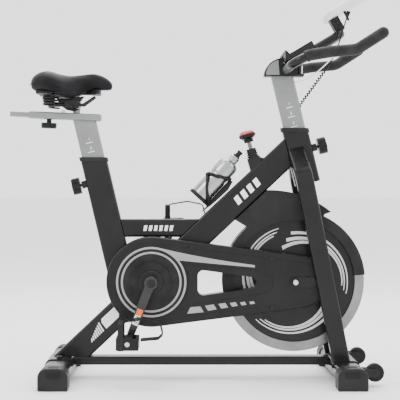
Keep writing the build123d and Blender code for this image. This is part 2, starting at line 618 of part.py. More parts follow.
DUST_STEPS = ((78.5, 5), (57, 10), (34, 20))     # radius, and how far out from the guard
with BuildPart() as dust_cover:
    for step_r, step_out in DUST_STEPS:
        drill([CRANK], step_r, GUARD_OUT - 2 * GAP, step_out, Mode.ADD)
    drill([CRANK], SPINDLE_R, 0, 120)
    chamfer(faces().sort_by(Axis.Y)[0].edges().sort_by(SortBy.LENGTH)[-1], 3)
save(dust_cover, "dust_cover")

BOSS_R, PEDAL_BOSS_R, ARM_WIDE = 19, 14, 24
PEDAL_SPINDLE_R = 7


def pedal_place(side):
    """The pedal's axis as (x, z); side -1 is the right one."""
    return moved(CRANK, CRANK_DIR, -side * CRANK_LENGTH)


def crank_arm(side):
    """A tapered forged arm with a boss at each end."""
    outer = ARM_OUT if side > 0 else -ARM_IN
    end = pedal_place(side)
    direction = (-side * CRANK_DIR[0], -side * CRANK_DIR[1])
    across = (-direction[1], direction[0])
    corners = [moved(CRANK, across, ARM_WIDE / 2 + 2), moved(end, across, ARM_WIDE / 2 - 2),
               moved(end, across, 2 - ARM_WIDE / 2), moved(CRANK, across, -ARM_WIDE / 2 - 2)]
    with BuildSketch(at_y(outer)) as section:
        with BuildLine():
            Polyline(*corners, close=True)
        make_face()
        with Locations(CRANK):
            Circle(BOSS_R)
        with Locations(end):
            Circle(PEDAL_BOSS_R)
    extrude(section.sketch, amount=ARM_OUT - ARM_IN)
    fillet(faces().sort_by(Axis.Y)[0 if side < 0 else -1].edges(), 3)
    drill([CRANK], SPINDLE_R, 150, 300)
    drill([end], PEDAL_SPINDLE_R, 150, 300)


for arm_name, arm_side in (("crank_arm_right", -1), ("crank_arm_left", 1)):
    with BuildPart() as arm:
        crank_arm(arm_side)
    save(arm, arm_name)

with BuildPart() as pedal_spindles:
    spindle_long = PEDAL_OUT - 6 - ARM_IN
    for spindle_side in (-1, 1):
        drill([pedal_place(spindle_side)], PEDAL_SPINDLE_R,
              PEDAL_OUT - 6 if spindle_side > 0 else -ARM_IN, spindle_long, Mode.ADD)
save(pedal_spindles, "pedal_spindles")

# ---- pedals -------------------------------------------------------------------------------
BARREL_R, PLATE_THICK, TOOTH = 12, 7, 8
CLIP_WALL, CLIP_Y = 4, (146, 200)
CAGE_ROUTE = ((84, 12), (97, 24), (88, 58), (42, 67), (-12, 58))       # about the pedal's axis
STRAP_X, STRAP_WIDE, STRAP_THICK = -18, 16, 2.5


def pedal_box(low_x, high_x, low_y, high_y, low_z, high_z, centre, side, mode=Mode.ADD):
    """A box about a pedal's axis; y is the distance from the bike's middle."""
    with BuildSketch(at_y(max(side * low_y, side * high_y))) as section:
        with Locations((centre[0] + (low_x + high_x) / 2, centre[1] + (low_z + high_z) / 2)):
            Rectangle(high_x - low_x, high_z - low_z)
    extrude(section.sketch, amount=high_y - low_y, mode=mode)


def pedal_body(side):
    """A resin platform: front and rear plates with toothed edges, joined by end webs and a barrel."""
    centre = pedal_place(side)
    long, high = PEDAL_LONG / 2, PEDAL_HIGH / 2
    pedal_box(-long, long, PEDAL_IN, PEDAL_OUT, -high, high, centre, side)
    fillet(edges().filter_by(Axis.Z), 6)
    for pocket in (-1, 1):
        near, far = pocket * (BARREL_R + 1), pocket * (long - PLATE_THICK)
        pedal_box(min(near, far), max(near, far), PEDAL_IN + 8, PEDAL_OUT - 8, -high, high, centre, side,
                  Mode.SUBTRACT)
        for tooth in range(int((PEDAL_OUT - PEDAL_IN - 16) / (2 * TOOTH)) + 1):
            tooth_y = side * (PEDAL_IN + 10 + 2 * TOOTH * tooth)
            edge_x = centre[0] + pocket * long
            for level in (-1, 1):
                notch = Plane(origin=(edge_x, tooth_y, centre[1] + level * high), x_dir=(0, 1, 0),
                              z_dir=(-pocket, 0, 0))
                with BuildSketch(notch) as section:
                    RegularPolygon(TOOTH / 2, 4)
                extrude(section.sketch, amount=PLATE_THICK + 1, mode=Mode.SUBTRACT)
    drill([centre], PEDAL_SPINDLE_R + SNUG, 250, 500)


def toe_clip(side):
    """The cage over the toes, open at the rear, and the strap and buckle that close it."""
    centre = pedal_place(side)
    top = PEDAL_HIGH / 2 + GAP
    inner, outer = side * CLIP_Y[0], side * CLIP_Y[1]
    with BuildSketch(at_y(max(inner, outer))) as section:
        with Locations(centre):
            with BuildSketch(mode=Mode.PRIVATE) as band:
                with BuildLine() as outline:
                    route = Polyline((PEDAL_LONG / 2 + GAP + CLIP_WALL, 8), *CAGE_ROUTE)
                    offset(route, CLIP_WALL / 2, kind=Kind.ARC, side=Side.BOTH)
                make_face(outline.edges())
            add(band.sketch)
            with Locations(((PEDAL_LONG + GAP) / 2 + 2.4, 0)):
                Rectangle(CLIP_WALL, PEDAL_HIGH - 2)
    extrude(section.sketch, amount=CLIP_Y[1] - CLIP_Y[0])
    # the cage's long window over the instep
    window_y = max(side * (CLIP_Y[0] + 12), side * (CLIP_Y[1] - 12))
    with BuildSketch(at_y(window_y)) as section:
        with Locations((centre[0] + 58, centre[1] + 47)):
            Rectangle(66, 50)
    extrude(section.sketch, amount=CLIP_Y[1] - CLIP_Y[0] - 24, mode=Mode.SUBTRACT)
    # the strap runs under the platform, up both ends and over the top, just behind the cage
    strap_plane = Plane(origin=(centre[0] + STRAP_X - STRAP_WIDE / 2, 0, centre[1]), x_dir=(0, 1, 0),
                        z_dir=(1, 0, 0))
    low, high = -PEDAL_HIGH / 2 - STRAP_THICK - GAP, 58 - CLIP_WALL / 2 - GAP
    span = PEDAL_OUT - PEDAL_IN + 2 * (STRAP_THICK + GAP)
    with BuildSketch(strap_plane) as section:
        with Locations((side * (PEDAL_IN + PEDAL_OUT) / 2, (low + high) / 2)):
            RectangleRounded(span, high - low, 6)
            RectangleRounded(span - 2 * STRAP_THICK, high - low - 2 * STRAP_THICK, 0.8, mode=Mode.SUBTRACT)
    extrude(section.sketch, amount=STRAP_WIDE)
    pedal_box(STRAP_X - 9, STRAP_X + 9, 150, 178, high + GAP, high + 9, centre, side)


for pedal_side, side_name in ((-1, "right"), (1, "left")):
    with BuildPart() as pedal:
        pedal_body(pedal_side)
    save(pedal, f"pedal_{side_name}")
    with BuildPart() as clip:
        toe_clip(pedal_side)
    save(clip, f"toe_clip_{side_name}")

# ---- seat post and saddle -----------------------------------------------------------------
SLEEVE_TILT = 2.5             # the saddle's sleeve falls towards the front
SLEEVE_MID = (-370.5, 754)
SLEEVE_X = (-474, -267)
SLEEVE_WIDE, SLEEVE_HIGH = 50, 20
SLIDER_WIDE, SLIDER_HIGH = 44, 14
SLIDER_X = (-529, -322)
STUB_X, STUB_LONG, STUB_TRAVEL = -339.5, 21, 50
POST_IN = 250                 # seat post inside its tube at rest
BAR_POST_IN = 106
sleeve_dir = (cos(radians(SLEEVE_TILT)), -sin(radians(SLEEVE_TILT)))
sleeve_up = (-sleeve_dir[1], sleeve_dir[0])
sleeve_down = (-sleeve_up[0], -sleeve_up[1])


def on_sleeve(x, lift=0):
    """A point of the sleeve's axis at x, raised square to it."""
    base = moved(SLEEVE_MID, sleeve_dir, (x - SLEEVE_MID[0]) / sleeve_dir[0])
    return moved(base, sleeve_up, lift)


def sleeve_bar(low_x, high_x, high, wide, corner, mode=Mode.ADD):
    """A rounded bar along the sleeve's axis between two places."""
    with BuildSketch(along(on_sleeve(low_x), sleeve_dir)) as section:
        RectangleRounded(high, wide, corner)
    extrude(section.sketch, amount=(high_x - low_x) / sleeve_dir[0], mode=mode)


post_run = hypot(SEAT_TOP[0] + 312, SEAT_TOP[1] - 741)
SLEEVE_END, KNOB_STEM_R = 3, 7
SLEEVE_KNOB_R, SLEEVE_KNOB_HIGH, SLEEVE_STEM = 22.5, 16, 13.5
SLEEVE_KNOB_X = -418
with BuildPart() as seat_post:
    sleeve_bar(*SLEEVE_X, SLEEVE_HIGH, SLEEVE_WIDE, 5)
    fillet(faces().sort_by(Axis.X)[-1].edges(), 4)
    with BuildPart(mode=Mode.PRIVATE) as stem:
        box_tube(along(moved(SEAT_TOP, SEAT_DOWN, -post_run - 15), SEAT_DOWN), post_run + 15 + POST_IN,
                 POST_WIDTH, POST_DEPTH, POST_CORNER, WALL)
        split(bisect_by=along(SLEEVE_MID, sleeve_up), keep=Keep.BOTTOM)
    add(stem.part)
    sleeve_bar(SLEEVE_X[0] - 1, SLEEVE_X[1] - SLEEVE_END, SLIDER_HIGH + 2 * GAP, SLIDER_WIDE + 2 * GAP, 3,
               Mode.SUBTRACT)
    with BuildSketch(along(on_sleeve(STUB_X), sleeve_up)):
        SlotOverall(STUB_LONG + 2 * STUB_TRAVEL + 2, STUB_LONG + 1)
    extrude(amount=SLEEVE_HIGH, mode=Mode.SUBTRACT)
    rod(along(on_sleeve(SLEEVE_KNOB_X), sleeve_down), KNOB_STEM_R + GAP, SLEEVE_HIGH, Mode.SUBTRACT)
save(seat_post, "seat_post")


def star_knob(plane, radius, thick, stem_r, stem, lobes=6):
    """A moulded grip with finger scallops on a stem; the plane is at the stem's free end."""
    rod(plane, stem_r, stem + thick / 2)
    grip = plane.offset(stem)
    with BuildSketch(grip) as section:
        Circle(radius)
        with PolarLocations(radius * 1.22, lobes):
            Circle(radius * 0.34, mode=Mode.SUBTRACT)
    extrude(section.sketch, amount=thick)
    fillet(faces().sort_by(Axis(grip.origin, grip.z_dir))[-1].edges(), 3)


with BuildPart() as sleeve_knob:
    stem_start = on_sleeve(SLEEVE_KNOB_X, -SLIDER_HIGH / 2 - GAP)
    star_knob(along(stem_start, sleeve_down), SLEEVE_KNOB_R, SLEEVE_KNOB_HIGH, KNOB_STEM_R, SLEEVE_STEM)
save(sleeve_knob, "sleeve_knob")

PIN_SHY = 1.5                 # how far each pin's tip stands off its post
for knob_name, top, down, pin_at, outward, post_half in (
        ("seat_knob", SEAT_TOP, SEAT_DOWN, SEAT_PIN, SEAT_BACK, POST_WIDTH / 2),
        ("head_knob", HEAD_TOP, HEAD_DOWN, HEAD_PIN, HEAD_FRONT, BAR_POST_WIDTH / 2)):
    with BuildPart() as knob:
        tip = moved(moved(top, down, pin_at), outward, post_half + PIN_SHY)
        boss_end = SEAT_WIDTH / 2 + PIN_BOSS_OUT
        star_knob(along(tip, outward), 24.5, 24, PIN_R, boss_end - post_half - PIN_SHY + 4)
    save(knob, knob_name)

CLAMP_X, CLAMP_LOW, CLAMP_HIGH = (-371, -329), 776, 798
with BuildPart() as saddle_slider:
    sleeve_bar(*SLIDER_X, SLIDER_HIGH, SLIDER_WIDE, 3)
    stub_long = CLAMP_LOW - on_sleeve(STUB_X)[1]
    with BuildSketch(along(on_sleeve(STUB_X), sleeve_up)):
        Circle(STUB_LONG / 2)
    extrude(amount=stub_long + 2)
    split(bisect_by=Plane.XY.offset(CLAMP_LOW), keep=Keep.BOTTOM)
save(saddle_slider, "saddle_slider")

RAIL_R, RAIL_Y, RAIL_Z = 3.5, 22, 787
CLAMP_HALF, CLAMP_BOLT_Z = 30, 780
rail_route = ((-432, RAIL_Y + 22, 806), (-420, RAIL_Y + 12, RAIL_Z), (-372, RAIL_Y, RAIL_Z),
              (-318, RAIL_Y, RAIL_Z), (-285, 12, 810))
with BuildPart() as saddle_rails:
    for rail_side in (-1, 1):
        points = [(x, rail_side * y, z) for x, y, z in rail_route]
        with BuildLine() as rail_path:
            FilletPolyline(*points, radius=8)
        rail_start = Plane(origin=rail_path.line @ 0, z_dir=rail_path.line % 0)
        with BuildSketch(rail_start) as rail_section:
            Circle(RAIL_R)
        sweep(rail_section.sketch, path=rail_path.line)
save(saddle_rails, "saddle_rails")

with BuildPart() as saddle_clamp:
    with BuildSketch(at_y(CLAMP_HALF)):
        with Locations(((CLAMP_X[0] + CLAMP_X[1]) / 2, (CLAMP_LOW + CLAMP_HIGH) / 2)):
            RectangleRounded(CLAMP_X[1] - CLAMP_X[0], CLAMP_HIGH - CLAMP_LOW, 6)
    extrude(amount=2 * CLAMP_HALF)
    for rail_side in (-1, 1):
        rod(along((CLAMP_X[0] - 6, RAIL_Z), (1, 0), rail_side * RAIL_Y), RAIL_R + 0.1, 60, Mode.SUBTRACT)
    drill([((CLAMP_X[0] + CLAMP_X[1]) / 2, CLAMP_BOLT_Z)], 3, CLAMP_HALF + 12, 2 * CLAMP_HALF + 24, Mode.ADD)
    with BuildSketch(at_y(-CLAMP_HALF)):
        with Locations(((CLAMP_X[0] + CLAMP_X[1]) / 2, CLAMP_BOLT_Z)):
            RegularPolygon(6, 6)
    extrude(amount=7)
save(saddle_clamp, "saddle_clamp")

SPRING_X, SPRING_Y, SPRING_Z = -412, 68, (779, 816)
SPRING_R, SPRING_WIRE, SPRING_TURNS = 15, 2.8, 4
with BuildPart() as saddle_springs:
    for spring_side in (-1, 1):
        coil_high = SPRING_Z[1] - SPRING_Z[0] - 2 * SPRING_WIRE
        spot = (SPRING_X, spring_side * SPRING_Y, SPRING_Z[0] + SPRING_WIRE)
        coil = Pos(*spot) * Helix(pitch=coil_high / SPRING_TURNS, height=coil_high, radius=SPRING_R)
        with BuildSketch(Plane(origin=coil @ 0, z_dir=coil % 0)) as wire:
            Circle(SPRING_WIRE)
        sweep(wire.sketch, path=coil, is_frenet=True)
save(saddle_springs, "saddle_springs")

# the saddle's outline from above, as (x, half width); the rear corner and the nose are rounded
PLAN = ((-466, 0), (-462, 62), (-436, 97), (-398, 100), (-362, 74), (-325, 38), (-280, 25),
        (-240, 18), (-231, 0))
SADDLE_SIDE = ((-464, 827), (-470, 850), (-458, 868), (-432, 878), (-400, 876), (-356, 868.6), (-310, 874.5),
               (-275, 875.5), (-247, 865), (-232, 841))


def saddle_solid(under):
    """The saddle's plan cut out of its side profile; under lists its lower edge, front to rear."""
    with BuildPart(mode=Mode.PRIVATE) as plan_body:
        with BuildSketch(Plane.XY.offset(790)) as section:
            with BuildLine():
                Spline(*[(x, y) for x, y in PLAN[:-1]], PLAN[-1], tangents=((0, 1), (0, -1)))
                mirror(about=Plane.XZ)
            make_face()
        extrude(section.sketch, amount=100)
    with BuildPart(mode=Mode.PRIVATE) as side_body:
        with BuildSketch(at_y(130)) as section:
            with BuildLine():
                Spline(*SADDLE_SIDE)
                Polyline(SADDLE_SIDE[-1], *under, SADDLE_SIDE[0])
            make_face()
        extrude(section.sketch, amount=260)
    return plan_body.part & side_body.part


saddle_under = ((-281, 826), (-330, 821), (-400, 819))
with BuildPart() as saddle_pad:
    add(saddle_solid(saddle_under))
save(saddle_pad, "saddle_pad")

with BuildPart() as saddle_base:
    with BuildSketch(Plane.XY.offset(SPRING_Z[1] + 0.2)):
        with BuildLine():
            Spline((-448, 0), (-440, 78), (-400, 84), (-350, 52), (-300, 18), (-268, 0),
                   tangents=((0, 1), (0, -1)))
            mirror(about=Plane.XZ)
        make_face()
    extrude(amount=12)
    add(saddle_pad.part, mode=Mode.SUBTRACT)
    add(saddle_rails.part, mode=Mode.SUBTRACT)
save(saddle_base, "saddle_base")

# ---- handlebar ----------------------------------------------------------------------------
BAR_R, GRIP_R = 12.5, 16
BAR_AT = (265, 885)
BAR_HALF = 220
bar_route = ((512, 969.5), (441, 924), (372, 918), (312, 908), BAR_AT)
GRIP_TO = (301, 902.6)        # where each grip's sleeve ends
BAR_POST_TOP = (256, 868)
bar_post_run = hypot(BAR_POST_TOP[0] - HEAD_TOP[0], BAR_POST_TOP[1] - HEAD_TOP[1])
with BuildPart() as handlebar_post:
    box_tube(along(moved(HEAD_TOP, HEAD_DOWN, -bar_post_run - 12), HEAD_DOWN),
             bar_post_run + 12 + BAR_POST_IN, BAR_POST_WIDTH, POST_DEPTH, POST_CORNER, WALL)
    split(bisect_by=Plane.XY.offset(BAR_POST_TOP[1] + 1), keep=Keep.BOTTOM)
save(handlebar_post, "handlebar_post")


def ring(path_start, direction, outer, inner):
    """An annulus square to a path's start."""
    with BuildSketch(Plane(origin=path_start, z_dir=direction)) as section:
        Circle(outer)
        Circle(inner, mode=Mode.SUBTRACT)
    return section.sketch


with BuildPart() as handlebar:
    right_side = [(x, -BAR_HALF, z) for x, z in bar_route]
    left_side = [(x, BAR_HALF, z) for x, z in reversed(bar_route)]
    with BuildLine() as bar_path:
        FilletPolyline(*right_side, *left_side, radius=(45, 60, 60, 38, 38, 60, 60, 45))
    sweep(ring(bar_path.line @ 0, bar_path.line % 0, BAR_R, BAR_R - 2), path=bar_path.line)
save(handlebar, "handlebar")

with BuildPart() as handlebar_grips:
    for grip_side in (-1, 1):
        grip_y = grip_side * BAR_HALF
        with BuildLine() as grip_path:
            FilletPolyline(*[(x, grip_y, z) for x, z in (*bar_route[:-1], GRIP_TO)], radius=(45, 60, 60))
        start, heading = grip_path.line @ 0, grip_path.line % 0
        sweep(ring(start, heading, GRIP_R, BAR_R), path=grip_path.line)
        with BuildPart(mode=Mode.PRIVATE) as end_dome:
            with Locations(Location(start)):
                Sphere(GRIP_R)
            split(bisect_by=Plane(origin=start, z_dir=heading), keep=Keep.BOTTOM)
        add(end_dome.part)
save(handlebar_grips, "handlebar_grips")

LOOP_Y, LOOP_LOW, LOOP_HIGH, LOOP_BEND = 45, (262, 894), (423, 990), 30
with BuildPart() as loop_blank:
    with BuildLine() as loop_path:
        FilletPolyline((LOOP_LOW[0], -LOOP_Y, LOOP_LOW[1]), (LOOP_HIGH[0], -LOOP_Y, LOOP_HIGH[1]),
                       (LOOP_HIGH[0], LOOP_Y, LOOP_HIGH[1]), (LOOP_LOW[0], LOOP_Y, LOOP_LOW[1]),
                       radius=LOOP_BEND)
    sweep(ring(loop_path.line @ 0, loop_path.line % 0, BAR_R, BAR_R - 2), path=loop_path.line)
    drill([BAR_AT], BAR_R, 100, 200)

with BuildPart() as aero_loop:
    add(loop_blank.part.solids().sort_by(SortBy.VOLUME)[-1])
save(aero_loop, "aero_loop")

loop_run = (LOOP_HIGH[0] - LOOP_LOW[0], LOOP_HIGH[1] - LOOP_LOW[1])
LOOP_DIR = (loop_run[0] / hypot(*loop_run), loop_run[1] / hypot(*loop_run))
LOOP_UP = (-LOOP_DIR[1], LOOP_DIR[0])
SHELF_HALF, SHELF_THICK, SHELF_FROM, SHELF_LONG = 92, 9, 22, 74
SHELF_TIP, SHELF_FOOT = (258, 938.5), (259, 904)      # the upright lip that stops a tablet
SHELF_SIDE_THICK, SHELF_SIDE_DEEP = 4, 11
CLAMP_Y = 24
with BuildPart() as media_shelf:
    shelf_low = moved(moved(LOOP_LOW, LOOP_UP, BAR_R + 2), LOOP_DIR, SHELF_FROM)
    shelf_front = moved(shelf_low, LOOP_DIR, SHELF_LONG)
    with BuildSketch(at_y(SHELF_HALF)):
        with BuildLine():
            Polyline(shelf_low, shelf_front, moved(shelf_front, LOOP_UP, SHELF_THICK),
                     moved(moved(shelf_low, LOOP_UP, SHELF_THICK), LOOP_DIR, 2),
                     SHELF_TIP, SHELF_FOOT, close=True)
        make_face()
    extrude(amount=2 * SHELF_HALF)
    fillet(edges().filter_by(Axis.Y), 1)
    # side flanges below the tray
    for flange_y in (SHELF_HALF, -SHELF_HALF + SHELF_SIDE_THICK):
        with BuildSketch(at_y(flange_y)):
            with BuildLine():
                Polyline(shelf_low, shelf_front, moved(shelf_front, LOOP_UP, -SHELF_SIDE_DEEP),
                         moved(moved(shelf_low, LOOP_UP, -SHELF_SIDE_DEEP), LOOP_DIR, 10), close=True)
            make_face()
        extrude(amount=SHELF_SIDE_THICK)
    # a notch in the lip for the clamp
    with BuildSketch(at_y(CLAMP_Y + 2)):
        with Locations((SHELF_TIP[0], SHELF_TIP[1] - 25)):
            Rectangle(30, 30)
    extrude(amount=2 * (CLAMP_Y + 2), mode=Mode.SUBTRACT)
    # and hollows for the loop's two tubes
    for loop_side in (-1, 1):
        rod(along(moved(LOOP_LOW, LOOP_DIR, -10), LOOP_DIR, loop_side * LOOP_Y), BAR_R + 0.1, 60,
            Mode.SUBTRACT)
save(media_shelf, "media_shelf")

# the clamp on top of the post, and the block that carries the console on the loop
BLOCK_HALF, BLOCK_WIDE, BLOCK_LONG, BLOCK_FROM = 22, 28, 42, 14
CLAMP_FLOOR, CLAMP_ROOF, CLAMP_REAR, CLAMP_MID = 869, 921.5, 204, 258
CONSOLE_LOW, CONSOLE_TILT, CONSOLE_LONG, CONSOLE_THICK, CONSOLE_HALF = (392, 1030), 30, 150, 22, 85
console_dir = (cos(radians(CONSOLE_TILT)), sin(radians(CONSOLE_TILT)))
console_up = (-console_dir[1], console_dir[0])
with BuildPart() as bar_clamps:
    with BuildSketch(at_y(CLAMP_Y)):
        with BuildLine():
            Polyline((CLAMP_REAR, CLAMP_FLOOR), (318, CLAMP_FLOOR), (318, CLAMP_FLOOR + 6),
                     (286, CLAMP_FLOOR + 6), (286, 896), (264, CLAMP_ROOF), (CLAMP_MID, CLAMP_ROOF))
            EllipticalCenterArc((CLAMP_MID, CLAMP_FLOOR), CLAMP_MID - CLAMP_REAR, CLAMP_ROOF - CLAMP_FLOOR,
                                start_angle=90, arc_size=90)
        make_face()
    extrude(amount=2 * CLAMP_Y)
    drill([BAR_AT], BAR_R, 100, 200)
    rod(Plane(origin=(306, 0, CLAMP_FLOOR + 6)), 3.5, 24)
    rod(Plane(origin=(306, 0, CLAMP_FLOOR + 6)), 6.5, 5)
    with BuildPart(mode=Mode.PRIVATE) as console_block:
        console_down = (-console_up[0], -console_up[1])
        with BuildSketch(along(moved(CONSOLE_LOW, console_dir, BLOCK_FROM), console_down)):
            RectangleRounded(BLOCK_WIDE, 2 * BLOCK_HALF, 5)
        extrude(amount=BLOCK_LONG)
        drill([LOOP_HIGH], BAR_R, 100, 200)
    add(console_block.part)
save(bar_clamps, "bar_clamps")

with BuildPart() as console:
    slab_start = moved(CONSOLE_LOW, console_up, CONSOLE_THICK / 2)
    with BuildSketch(along(slab_start, console_dir)):
        RectangleRounded(CONSOLE_THICK, 2 * CONSOLE_HALF, 8)
    extrude(amount=CONSOLE_LONG)
    slab_axis = Axis((slab_start[0], 0, slab_start[1]), (console_dir[0], 0, console_dir[1]))
    fillet(faces().sort_by(slab_axis)[0].edges(), 3)
    fillet(faces().sort_by(slab_axis)[-1].edges(), 3)
save(console, "console")

# ---- brake --------------------------------------------------------------------------------
BOOT_LONG, BOOT_R, BOOT_NECK, BOOT_RIBS = 26, 17, 13.5, 4
KNOB_R, CAP_R, KNOB_HIGH, KNOB_FREE = 24.5, 23, 21, 31
PAD_LIFT, PAD_THICK, PAD_LONG, PAD_WIDE = 6.5, 8, 40, 26
boot_base = moved(BRAKE_CROSS, BRAKE_UP, BRACKET_LONG)
knob_base = moved(boot_base, BRAKE_UP, BOOT_LONG + KNOB_FREE)
with BuildPart() as brake_boot:
    for rib in range(BOOT_RIBS):
        rib_base = moved(boot_base, BRAKE_UP, rib * BOOT_LONG / BOOT_RIBS)
        rod(along(rib_base, BRAKE_UP), BOOT_NECK, BOOT_LONG / BOOT_RIBS)
        rod(along(moved(rib_base, BRAKE_UP, 1), BRAKE_UP), BOOT_R - rib, BOOT_LONG / BOOT_RIBS - 2)
    rod(along(boot_base, BRAKE_UP), ROD_R + GAP + 0.7, BOOT_LONG, Mode.SUBTRACT)
save(brake_boot, "brake_boot")

with BuildPart() as brake_plunger:
    # the pad is an arc just off the rim, square to the line from the wheel's centre
    to_wheel = (WHEEL_AXIS[0] - BRAKE_CROSS[0], WHEEL_AXIS[1] - BRAKE_CROSS[1])
    down_rod = (-BRAKE_UP[0], -BRAKE_UP[1])
    pad_r = RIM_R + PAD_LIFT
    along_rod = to_wheel[0] * down_rod[0] + to_wheel[1] * down_rod[1]
    miss = sqrt(hypot(*to_wheel) ** 2 - along_rod ** 2)
    rod_below = along_rod - sqrt((pad_r + PAD_THICK) ** 2 - miss ** 2)
    rod_above = BRACKET_LONG + BOOT_LONG + KNOB_FREE + 6
    rod(along(moved(BRAKE_CROSS, BRAKE_UP, rod_above), down_rod), ROD_R, rod_above + rod_below + 3)
    with BuildSketch(at_y(PAD_WIDE / 2)):
        with Locations(WHEEL_AXIS):
            Circle(pad_r + PAD_THICK)
            Circle(pad_r, mode=Mode.SUBTRACT)
        with Locations(moved(BRAKE_CROSS, down_rod, rod_below + PAD_THICK / 2)):
            Rectangle(PAD_LONG, 60, rotation=BRAKE_LEAN, mode=Mode.INTERSECT)
    extrude(amount=PAD_WIDE)
    drill([WHEEL_AXIS], pad_r, 100, 200)
save(brake_plunger, "brake_plunger")

with BuildPart() as brake_knob:
    rod(along(knob_base, BRAKE_UP), KNOB_R, KNOB_HIGH - 5)
    rod(along(moved(knob_base, BRAKE_UP, KNOB_HIGH - 5), BRAKE_UP), CAP_R, 5)
    knob_axis = Axis((knob_base[0], 0, knob_base[1]), (BRAKE_UP[0], 0, BRAKE_UP[1]))
    fillet(faces().sort_by(knob_axis)[-1].edges(), 4)
    rod(along(knob_base, BRAKE_UP), ROD_R + SNUG, 6.1, Mode.SUBTRACT)
save(brake_knob, "brake_knob")

# ---- shroud over the flywheel -------------------------------------------------------------
SHROUD_HALF, SHROUD_SKIN = 30, 2.5
SHROUD_LOW_R, SHROUD_REAR_X, SHROUD_REAR_LOW, BEAK = 184, 120, (158, 431.7), (395, 478)
BEAK_ROOT = (376, 471)
CHEEK_R, CHEEK_ENDS = (174.5, 205), (5, 205)       # the cheeks beside the rim, in degrees round the axis
shroud_bolt_places = [(157, 478), (141, 460.5)]
SHROUD_BOLT_R, SHROUD_HEAD = 3, 4


def shroud_outline():
    """Side view: under the diagonal, over the wheel in an arc, to a beak in front of the fork."""
    top_start = moved(main_under, MAIN_DIR, (211 - main_under[0]) / MAIN_DIR[0])
    with BuildLine() as outline:
        rear = moved(main_under, MAIN_DIR, (SHROUD_REAR_X - main_under[0]) / MAIN_DIR[0])
        Line(rear, top_start)
        ThreePointArc(top_start, (315, 524), BEAK)
        low_angle = atan2(BEAK_ROOT[1] - 16 - WHEEL_AXIS[1], BEAK_ROOT[0] - 3 - WHEEL_AXIS[0])
        low_end = moved(WHEEL_AXIS, (cos(low_angle), sin(low_angle)), SHROUD_LOW_R)
        Polyline(BEAK, BEAK_ROOT, low_end)
        rear_angle = atan2(SHROUD_REAR_LOW[1] - WHEEL_AXIS[1], SHROUD_REAR_LOW[0] - WHEEL_AXIS[0])
        low_start = moved(WHEEL_AXIS, (cos(rear_angle), sin(rear_angle)), SHROUD_LOW_R)
        mid_angle = (low_angle + rear_angle) / 2
        mid = moved(WHEEL_AXIS, (cos(mid_angle), sin(mid_angle)), SHROUD_LOW_R)
        ThreePointArc(low_end, mid, low_start)
        Polyline(low_start, SHROUD_REAR_LOW, rear)
    return make_face(outline.edges(), mode=Mode.PRIVATE)


with BuildPart() as flywheel_shroud:
    with BuildSketch(at_y(SHROUD_HALF)):
        add(shroud_outline())
        with BuildLine():
            inner_arc, outer_arc = (
                CenterArc(WHEEL_AXIS, cheek_r, CHEEK_ENDS[0], CHEEK_ENDS[1] - CHEEK_ENDS[0])
                for cheek_r in CHEEK_R)
            Line(inner_arc @ 0, outer_arc @ 0)
            Line(inner_arc @ 1, outer_arc @ 1)
        make_face()
    extrude(amount=2 * SHROUD_HALF)
    with BuildSketch(at_y(SHROUD_HALF - SHROUD_SKIN)):
        with BuildSketch(mode=Mode.PRIVATE) as inside:
            add(shroud_outline())
            offset(amount=-SHROUD_SKIN)
        add(inside.sketch)
        # open towards the wheel along the lower edge and at the rear
        with Locations(WHEEL_AXIS):
            Circle(RIM_R + 6)
    extrude(amount=2 * (SHROUD_HALF - SHROUD_SKIN), mode=Mode.SUBTRACT)
    rod(along(moved(BRAKE_CROSS, BRAKE_UP, -OVERRUN), BRAKE_UP), ROD_HOLE, OVERRUN, Mode.SUBTRACT)
    drill(shroud_bolt_places, SHROUD_BOLT_R + 0.1, 100, 200)
save(flywheel_shroud, "flywheel_shroud")

with BuildPart() as frame_bolts:
    for place in bolt_places:
        rod(Plane(origin=(*place, PLATE_TOP)), BOLT_HEAD_R, BOLT_HEAD)
        rod(Plane(origin=(*place, PLATE_TOP)).rotated((180, 0, 0)), BOLT_R, PLATE + WALL + 3)
        with BuildSketch(Plane(origin=(*place, PLATE_TOP + BOLT_HEAD))):
            RegularPolygon(3.4, 6)
        extrude(amount=-3, mode=Mode.SUBTRACT)
    drill(shroud_bolt_places, SHROUD_BOLT_R, SHROUD_HALF, 2 * SHROUD_HALF, Mode.ADD)
    for head_y in (-SHROUD_HALF, SHROUD_HALF + SHROUD_HEAD):
        drill(shroud_bolt_places, 2 * SHROUD_BOLT_R, head_y, SHROUD_HEAD, Mode.ADD)
save(frame_bolts, "frame_bolts")

